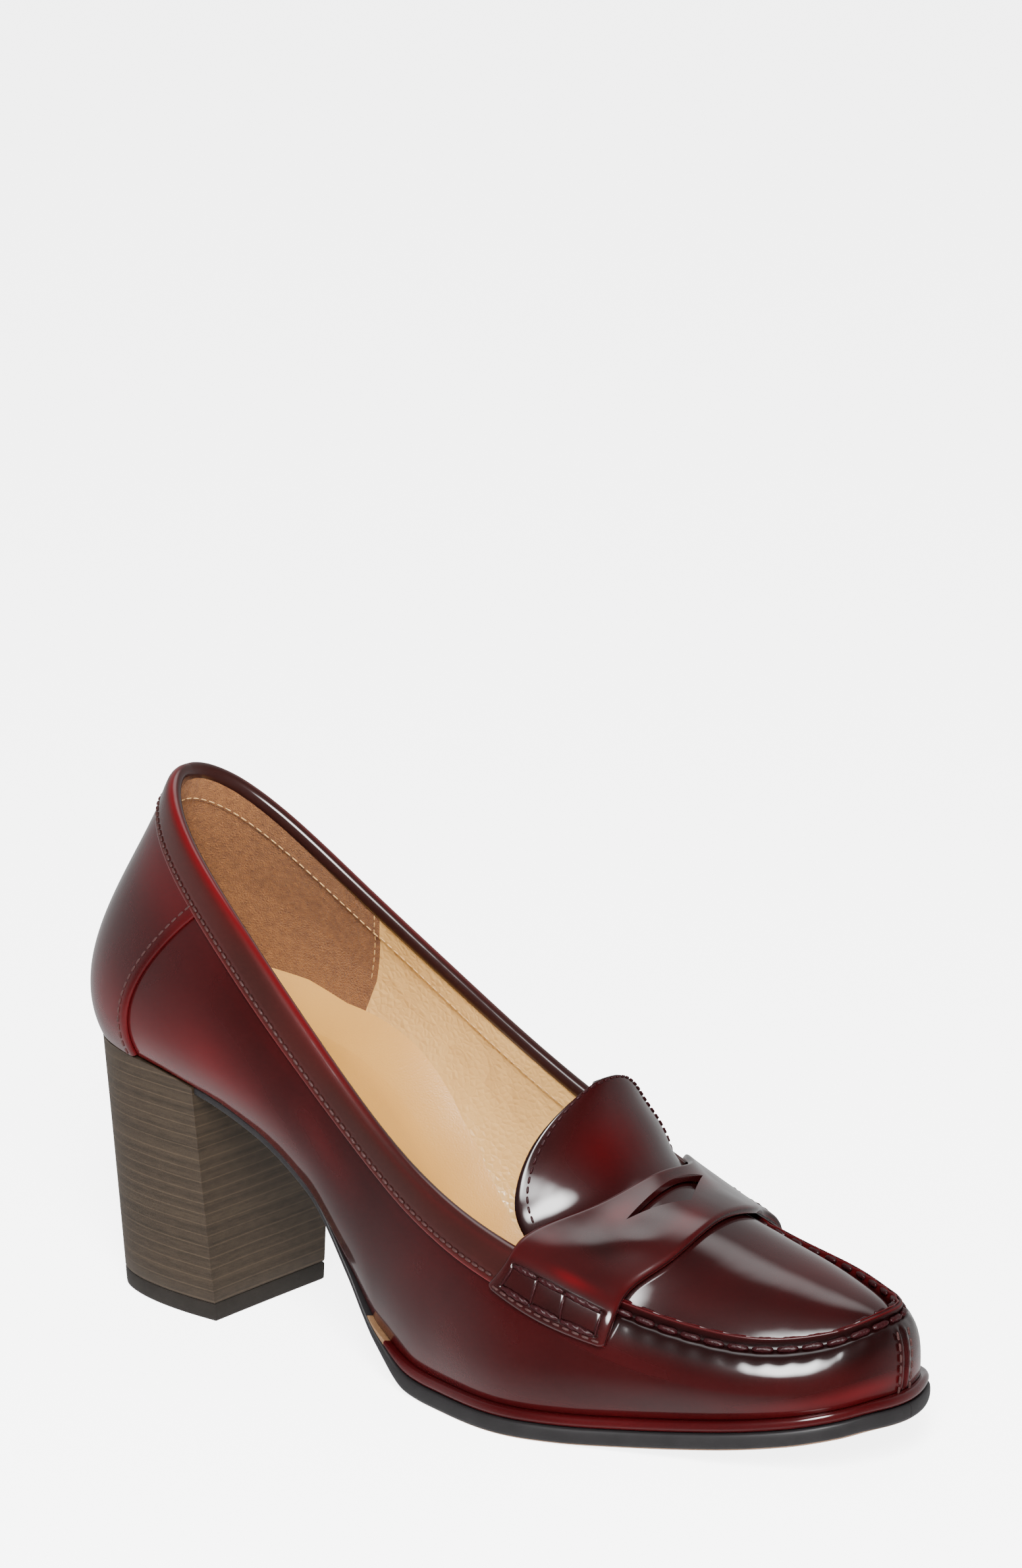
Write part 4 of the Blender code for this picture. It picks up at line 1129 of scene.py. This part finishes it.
def stacked(name):
    """Level leather layers, each its own brown, with dark lines between."""
    made, tree, shader, place = new_finish(name)
    height = grow(tree, "ShaderNodeSeparateXYZ", {"Vector": place}, "Z")
    level = worked(tree, "MULTIPLY_ADD", noise(tree, place, 30.0, 2.0), 0.0008, height)
    layers = noise(tree, grow(tree, "ShaderNodeCombineXYZ", {"Z": level}, "Vector"), 330.0, 4.0, 0.7)
    stretched = grow(tree, "ShaderNodeMapping", {"Vector": place, "Scale": (260.0, 260.0, 1400.0)}, "Vector")
    fibres = worked(tree, "MULTIPLY_ADD", noise(tree, stretched, 1.0, 5.0), 0.34, layers)
    swing = worked(tree, "PINGPONG", worked(tree, "MULTIPLY", level, 1.0 / (LAYER * MM)), 0.5)
    lined = worked(tree, "ADD", fibres, ranged(tree, swing, 0.0, 0.08, 0.42, 0.0))
    ramp = tree.nodes.new("ShaderNodeValToRGB")
    stops = ((0.42, (0.0086, 0.0062, 0.0044, 1.0)), (1.0, (0.0300, 0.0205, 0.0125, 1.0)))
    for stop, (position, colour) in zip(ramp.color_ramp.elements, stops):
        stop.position = position
        stop.color = colour
    feed(ramp, {"Fac": lined})
    feed(shader, {
        "Base Color": ramp.outputs["Color"], "Roughness": 0.45, "Specular IOR Level": 0.16,
        "Normal": bump(tree, fibres, 0.35, 0.00012),
    })
    return made


def heel_piece(name, levels, finish, node):
    """Rings at each level, eased in by inset mm; the ends are closed flat."""
    rings = []
    for rise, height, inset in levels:
        ring = heel_ring(rise)
        away = ring[:, :2] - ring.mean(axis=0)[:2]
        ring[:, :2] -= away / np.linalg.norm(away, axis=1, keepdims=True) * inset
        if height is not None:
            ring[:, 2] = height
        else:
            ring[:, 2] -= 0.4 * inset
        rings.append(ring)
    return piece(name, rings, {}, finish, node, axis=0, sharp=35.0)


def flat_level(height, inset):
    """Level of a ring that lies flat, at a height in mm."""
    return height / SEAT_HEIGHT, height, inset


heel_veneer = stacked("heel_veneer")
lift_rubber = rubber("lift_rubber", (0.0098, 0.0080, 0.0066), 0.5, 0.00012)
stack_levels = [flat_level(TOP_LIFT + 0.1, 0.25), flat_level(TOP_LIFT + 0.5, 0.0)]
stack_levels += [(rise, None, 0.0) for rise in np.linspace(0.15, 0.985, 16)]
stack_levels += [(0.996, None, 0.0), (1.0, None, 0.25)]
heel_piece("heel_stack", stack_levels, heel_veneer, "heel_stack")
lift_levels = [flat_level(0.0, 0.5), flat_level(0.35, 0.05), flat_level(0.9, 0.0)]
lift_levels += [flat_level(TOP_LIFT - 0.5, 0.0), (TOP_LIFT / SEAT_HEIGHT, TOP_LIFT - 0.05, 0.3)]
heel_piece("top_lift", lift_levels, lift_rubber, "top_lift")


# Thread. Waxed burgundy thread: heavy stitches in the moccasin seam and the
# strap's boxes, fine ones along band, counter and strap ends, tan ones in the lining.
def thread(name, colour, gloss):
    made, tree, shader, place = new_finish(name)
    strands = noise(tree, place, 1900.0, 3.0)
    dark = [0.4 * value for value in colour]
    pale = [1.5 * value for value in colour]
    feed(shader, {
        "Base Color": blend(tree, strands, dark, pale), "Roughness": gloss, "Specular IOR Level": 0.15,
        "Normal": bump(tree, strands, 0.7, 0.00020),
    })
    return made


def stitch_tree(finish):
    """Node tree: capsules at even steps along each edge path, lying along it."""
    tree = bpy.data.node_groups.new("stitch_row", "GeometryNodeTree")
    tree.interface.new_socket("Geometry", in_out="INPUT", socket_type="NodeSocketGeometry")
    for name in ("Pitch", "Length", "Thickness", "Strands"):
        tree.interface.new_socket(name, in_out="INPUT", socket_type="NodeSocketFloat")
    for name in ("Sides", "Rings"):
        tree.interface.new_socket(name, in_out="INPUT", socket_type="NodeSocketInt")
    tree.interface.new_socket("Geometry", in_out="OUTPUT", socket_type="NodeSocketGeometry")
    entry = tree.nodes.new("NodeGroupInput").outputs
    curve = grow(tree, "GeometryNodeMeshToCurve", {"Mesh": entry["Geometry"]}, "Curve")
    even = grow(tree, "GeometryNodeResampleCurve", {"Curve": curve, "Length": entry["Pitch"]}, "Curve",
                mode="LENGTH")
    ball = grow(tree, "GeometryNodeMeshUVSphere",
                {"Radius": 0.5, "Segments": entry["Sides"], "Rings": entry["Rings"]}, "Mesh")
    place = tree.nodes.new("ShaderNodeSeparateXYZ")
    feed(place, {"Vector": grow(tree, "GeometryNodeInputPosition", {}, "Position")})
    x, y, z = place.outputs
    # The ball's Z is laid along the row, blunt at both ends, with strands twisted round it
    far = worked(tree, "POWER", worked(tree, "MULTIPLY", worked(tree, "ABSOLUTE", z), 2.0), 0.5)
    along = worked(tree, "MULTIPLY", worked(tree, "SIGN", z), worked(tree, "MULTIPLY", far, 0.5))
    around = worked(tree, "MULTIPLY", worked(tree, "ARCTAN2", y, x), 3.0)
    phase = worked(tree, "ADD", around, worked(tree, "MULTIPLY", along, 9.0))
    twist = worked(tree, "MULTIPLY", worked(tree, "COSINE", phase), entry["Strands"])
    strand = worked(tree, "ADD", twist, 1.0)
    shaped = grow(tree, "ShaderNodeCombineXYZ", {
        "X": along, "Y": worked(tree, "MULTIPLY", x, strand), "Z": worked(tree, "MULTIPLY", y, strand),
    }, "Vector")
    twisted = grow(tree, "GeometryNodeSetPosition", {"Geometry": ball, "Position": shaped}, "Geometry")
    way = grow(tree, "GeometryNodeInputTangent", {}, "Tangent")
    turn = grow(tree, "FunctionNodeAlignRotationToVector", {"Vector": way}, "Rotation", axis="X")
    size = grow(tree, "ShaderNodeCombineXYZ",
                {"X": entry["Length"], "Y": entry["Thickness"], "Z": entry["Thickness"]}, "Vector")
    stitches = grow(tree, "GeometryNodeInstanceOnPoints",
                    {"Points": even, "Instance": twisted, "Rotation": turn, "Scale": size}, "Instances")
    real = grow(tree, "GeometryNodeRealizeInstances", {"Geometry": stitches}, "Geometry")
    smooth = grow(tree, "GeometryNodeSetShadeSmooth", {"Geometry": real}, "Geometry")
    coloured = grow(tree, "GeometryNodeSetMaterial", {"Geometry": smooth, "Material": finish}, "Geometry")
    feed(tree.nodes.new("NodeGroupOutput"), {"Geometry": coloured})
    return tree


def stitch_rows(name, lines, pitch, length, thickness, finish):
    """Rows of stitches along lines of points in mm, as one plain mesh."""
    points = []
    edges = []
    for line in lines:
        start = len(points)
        points += in_frame(line).tolist()
        edges += [(start + k, start + k + 1) for k in range(len(line) - 1)]
    path = bpy.data.meshes.new(name + "_path")
    path.from_pydata(points, edges, [])
    guide = bpy.data.objects.new(name + "_path", path)
    bpy.context.scene.collection.objects.link(guide)
    modifier = guide.modifiers.new("stitches", "NODES")
    modifier.node_group = stitch_tree(finish)
    heavy = thickness > 1.0
    values = {"Pitch": pitch * MM, "Length": length * MM, "Thickness": thickness * MM, "Strands": 0.10}
    values.update({"Sides": 18 if heavy else 8, "Rings": 14 if heavy else 7})
    for item in modifier.node_group.interface.items_tree:
        if item.in_out == "INPUT" and item.name in values:
            modifier[item.identifier] = values[item.name]
    mesh = settled(guide)
    bpy.data.objects.remove(guide)
    mesh.materials.clear()
    mesh.materials.append(finish)
    mesh.shade_smooth()
    dressed(name, mesh)


heavy_thread = thread("heavy_thread", (0.0140, 0.0021, 0.0027), 0.36)
fine_thread = thread("fine_thread", (0.0300, 0.0125, 0.0115), 0.45)
tan_thread = thread("tan_thread", (0.380, 0.220, 0.090), 0.6)
SEAM_END_X = 167.0
seam_angles = np.linspace(float(TOP.angle(SEAM_END_X, -1)), float(TOP.angle(SEAM_END_X, 1)), 900)
outer_seam = skin(seam_angles, rise_below(seam_angles, SEAM_GROOVE), -1.00)
inner_seam = skin(seam_angles, rise_below(seam_angles, 0.0), -3.0)
inner_seam[:, 2] += 2.1
stitch_rows("moccasin_stitches", [outer_seam], SEAM_PITCH, 4.8, 1.45, heavy_thread)
stitch_rows("apron_stitches", [inner_seam], SEAM_PITCH, 3.5, 1.25, heavy_thread)
band_row = skin(band_angles[8:-8], rise_below(band_angles[8:-8], 6.95), 1.50)
stitch_rows("band_stitches", [band_row], 2.1, 1.75, 0.68, fine_thread)
heights = np.linspace(0.02, 0.985, 80)
counter_rows = []
for side in (-1.0, 1.0):
    around = side * (counter_reach(heights) - 0.030)
    counter_rows.append(skin(around, counter_rise(around, heights), COUNTER_OUT + 0.05))
stitch_rows("counter_stitches", counter_rows, 2.2, 1.7, 0.55, fine_thread)
rises = np.linspace(0.03, 0.97, 40) * float(rise_below(math.pi, 4.0))
toe_rows = [skin(math.pi - side / 24.0, rises, 0.42) for side in (-1.1, 1.1)]
stitch_rows("toe_stitches", toe_rows, 2.4, 1.9, 0.6, fine_thread)
tongue_steps = np.linspace(4.6, 0.62, 60)
tongue_half = 0.5 * np.abs(VAULT[1][1](tongue_steps) - VAULT[0][1](tongue_steps))
tongue_side = 1.0 - 2.0 / (tongue_half + 1.0)
tip_turn = np.linspace(0.0, math.pi, 40)[1:-1]
stations = np.concatenate([tongue_steps, 0.62 - 0.28 * np.sin(tip_turn), tongue_steps[::-1]])
acrosses = np.concatenate([-tongue_side, -tongue_side[-1] * np.cos(tip_turn), tongue_side[::-1]])
tongue_row = vault_skin(stations, acrosses, 0.16)
stitch_rows("tongue_stitches", [tongue_row], 2.2, 1.7, 0.6, heavy_thread)
facing_angles = np.linspace(lining_angles[4], lining_angles[-5], 500)
facing_lift = lining_lift(facing_angles, 0.8, 8.0) - 0.05
lining_rows = [skin(facing_angles, rise_below(facing_angles, 8.0), facing_lift)]
drops = np.linspace(3.4, 40.0, 70)
for side in (-1.0, 1.0):
    around = side * (GRIP_REACH - 0.02)
    rise = np.maximum(rise_below(around, drops), 0.05)
    lining_rows.append(skin(around, rise, lining_lift(around, rise, drops) - 0.05))
stitch_rows("lining_stitches", lining_rows, 2.2, 1.6, 0.36, tan_thread)


# Strap boxes. Three cells outlined by long doubled stitches, and a row of short
# stitches along the strap's end, on both sides of the shoe.
box_lines = []
cell_lines = []
edge_lines = []
for side in (-1.0, 1.0):
    for left, right in zip(BOX_CORNERS[:-1], BOX_CORNERS[1:]):
        for level in (BOX_LOW, BOX_HIGH):
            spots = np.linspace(left + 0.010, right - 0.010, 30)
            lift = STRAP + 0.12 + strap_dents(spots, side * level)
            box_lines.append(strap_skin(spots, side * level, lift))
    levels = np.linspace(BOX_HIGH, BOX_LOW, 14) * side
    cell_lines += [strap_skin(spot, levels, STRAP + 0.04) for spot in BOX_CORNERS]
    edge_lines.append(strap_skin(np.linspace(0.07, 0.93, 30), side * 0.978, STRAP + 0.05))
stitch_rows("strap_edge_stitches", edge_lines, 2.3, 1.8, 0.6, fine_thread)
CORD_SIDES = 18


def cords(name, lines, thickness, finish):
    """Long stitches as short twisted cords with pinched ends, as one mesh."""
    verts = []
    faces = []
    for line in lines:
        count = len(line)
        way = np.gradient(line, axis=0)
        way = way / np.linalg.norm(way, axis=1, keepdims=True)
        side = np.cross(way, np.array([0.0, -0.6, 0.8]))
        side = side / np.linalg.norm(side, axis=1, keepdims=True)
        up = np.cross(side, way)
        taper = np.sin(np.linspace(0.22, math.pi - 0.22, count)) ** 0.5
        start = len(verts)
        for k in range(count):
            for turn in np.linspace(0.0, 2.0 * math.pi, CORD_SIDES, endpoint=False):
                offset = side[k] * math.cos(turn) + up[k] * math.sin(turn)
                strand = 1.0 + 0.14 * math.cos(3.0 * turn + 0.75 * k)
                verts.append(line[k] + offset * 0.5 * thickness * taper[k] * strand)
        for k in range(count - 1):
            for t in range(CORD_SIDES):
                a = start + CORD_SIDES * k + t
                b = start + CORD_SIDES * k + (t + 1) % CORD_SIDES
                faces.append((a, a + CORD_SIDES, b + CORD_SIDES, b))
        faces.append([start + t for t in range(CORD_SIDES)])
        faces.append([start + CORD_SIDES * (count - 1) + t for t in range(CORD_SIDES - 1, -1, -1)])
    mesh = bpy.data.meshes.new(name)
    mesh.from_pydata(in_frame(verts).tolist(), [], faces)
    mesh.shade_smooth()
    mesh.materials.append(finish)
    dressed(name, mesh)


cords("strap_box_stitches", box_lines, 1.35, heavy_thread)
cords("strap_cell_stitches", cell_lines, 0.55, heavy_thread)


# The set. A plain pale floor that glows a little and isn't mirrored in the gloss,
# a world paler behind and below, two soft lights and the camera.
FLOOR = 30.0
floor_corners = [(-FLOOR, -FLOOR, 0), (FLOOR, -FLOOR, 0), (FLOOR, FLOOR, 0), (-FLOOR, FLOOR, 0)]
floor_mesh = bpy.data.meshes.new("floor")
floor_mesh.from_pydata(floor_corners, [], [(0, 1, 2, 3)])
floor = bpy.data.objects.new("floor", floor_mesh)
bpy.context.scene.collection.objects.link(floor)
floor_paint = bpy.data.materials.new("floor_paint")
floor_paint.use_nodes = True
feed(floor_paint.node_tree.nodes["Principled BSDF"], {
    "Base Color": (0.90, 0.90, 0.90, 1.0), "Roughness": 0.6, "Specular IOR Level": 0.1,
    "Emission Color": (1.0, 1.0, 1.0, 1.0), "Emission Strength": 4.8,
})
floor_mesh.materials.append(floor_paint)
floor.visible_glossy = False

world = bpy.data.worlds.new("studio")
bpy.context.scene.world = world
world.use_nodes = True
tree = world.node_tree
direction = grow(tree, "ShaderNodeTexCoord", {}, "Generated")
height = grow(tree, "ShaderNodeSeparateXYZ", {"Vector": direction}, "Z")
facing = grow(tree, "ShaderNodeVectorMath", {0: direction, 1: (0.64, -0.77, 0.0)}, "Value",
              operation="DOT_PRODUCT")
turned = worked(tree, "MULTIPLY_ADD", worked(tree, "MAXIMUM", height, 0.0), 0.65, facing)
behind = ranged(tree, turned, 0.85, -0.35, 0.02, 0.62, "SMOOTHSTEP")
below = ranged(tree, height, -0.40, -0.90, 0.0, 0.75, "SMOOTHSTEP")
feed(tree.nodes["Background"], {
    "Color": (1.0, 1.0, 1.0, 1.0), "Strength": worked(tree, "ADD", behind, below),
})


def aimed(made, right, up, back, place):
    """Put a light or camera in the scene, at a place in metres and facing away from back."""
    matrix = np.eye(4)
    matrix[:3, :3] = np.stack([right, up, back], axis=-1)
    matrix[:3, 3] = place
    made.matrix_world = [list(row) for row in matrix.T]
    bpy.context.scene.collection.objects.link(made)


LIGHT_TARGET = np.array([0.03, 0.0, 0.05])


def softbox(name, azimuth, elevation, distance, width, height, power):
    """Soft-edged area light that faces the shoe from a compass direction and height."""
    lamp = bpy.data.lights.new(name, "AREA")
    lamp.shape = "RECTANGLE"
    lamp.size = width
    lamp.size_y = height
    lamp.energy = power
    lamp.use_nodes = True
    tree = lamp.node_tree
    spot = grow(tree, "ShaderNodeNewGeometry", {}, "Parametric")
    off = grow(tree, "ShaderNodeVectorMath", {0: spot, 1: (0.5, 0.5, 0.0)}, "Value", operation="DISTANCE")
    feed(tree.nodes["Emission"], {"Strength": ranged(tree, off, 0.12, 0.50, 1.5, 0.0, "SMOOTHSTEP")})
    a = math.radians(azimuth)
    e = math.radians(elevation)
    back = np.array([math.cos(a) * math.cos(e), math.sin(a) * math.cos(e), math.sin(e)])
    right = np.cross([0.0, 0.0, 1.0], back)
    right = right / np.linalg.norm(right)
    made = bpy.data.objects.new(name, lamp)
    aimed(made, right, np.cross(back, right), back, back * distance + LIGHT_TARGET)


softbox("overhead", 124.0, 68.0, 1.6, 1.5, 1.1, 11.0)
softbox("key", -58.0, 38.0, 1.5, 0.95, 1.30, 180.0)

PHOTO_HEIGHT = 2380
SENSOR = 36.0
FOCAL_PIXELS = 8606.0
CAMERA_PLACE = np.array([831.384, -1013.566, 431.395])
CAMERA_RIGHT = np.array([0.8117, 0.5836, 0.0238])
CAMERA_AHEAD = np.array([-0.5635, 0.7932, -0.2308])
camera_data = bpy.data.cameras.new("camera")
camera_data.sensor_width = SENSOR
camera_data.sensor_fit = "AUTO"
camera_data.lens = FOCAL_PIXELS * SENSOR / PHOTO_HEIGHT
camera_data.clip_start = 0.05
camera_data.clip_end = 50.0
camera = bpy.data.objects.new("camera", camera_data)
right = CAMERA_RIGHT / np.linalg.norm(CAMERA_RIGHT)
ahead = CAMERA_AHEAD - right * np.dot(CAMERA_AHEAD, right)
ahead = ahead / np.linalg.norm(ahead)
aimed(camera, right, np.cross(right, ahead), -ahead, in_frame(CAMERA_PLACE))
bpy.context.scene.camera = camera
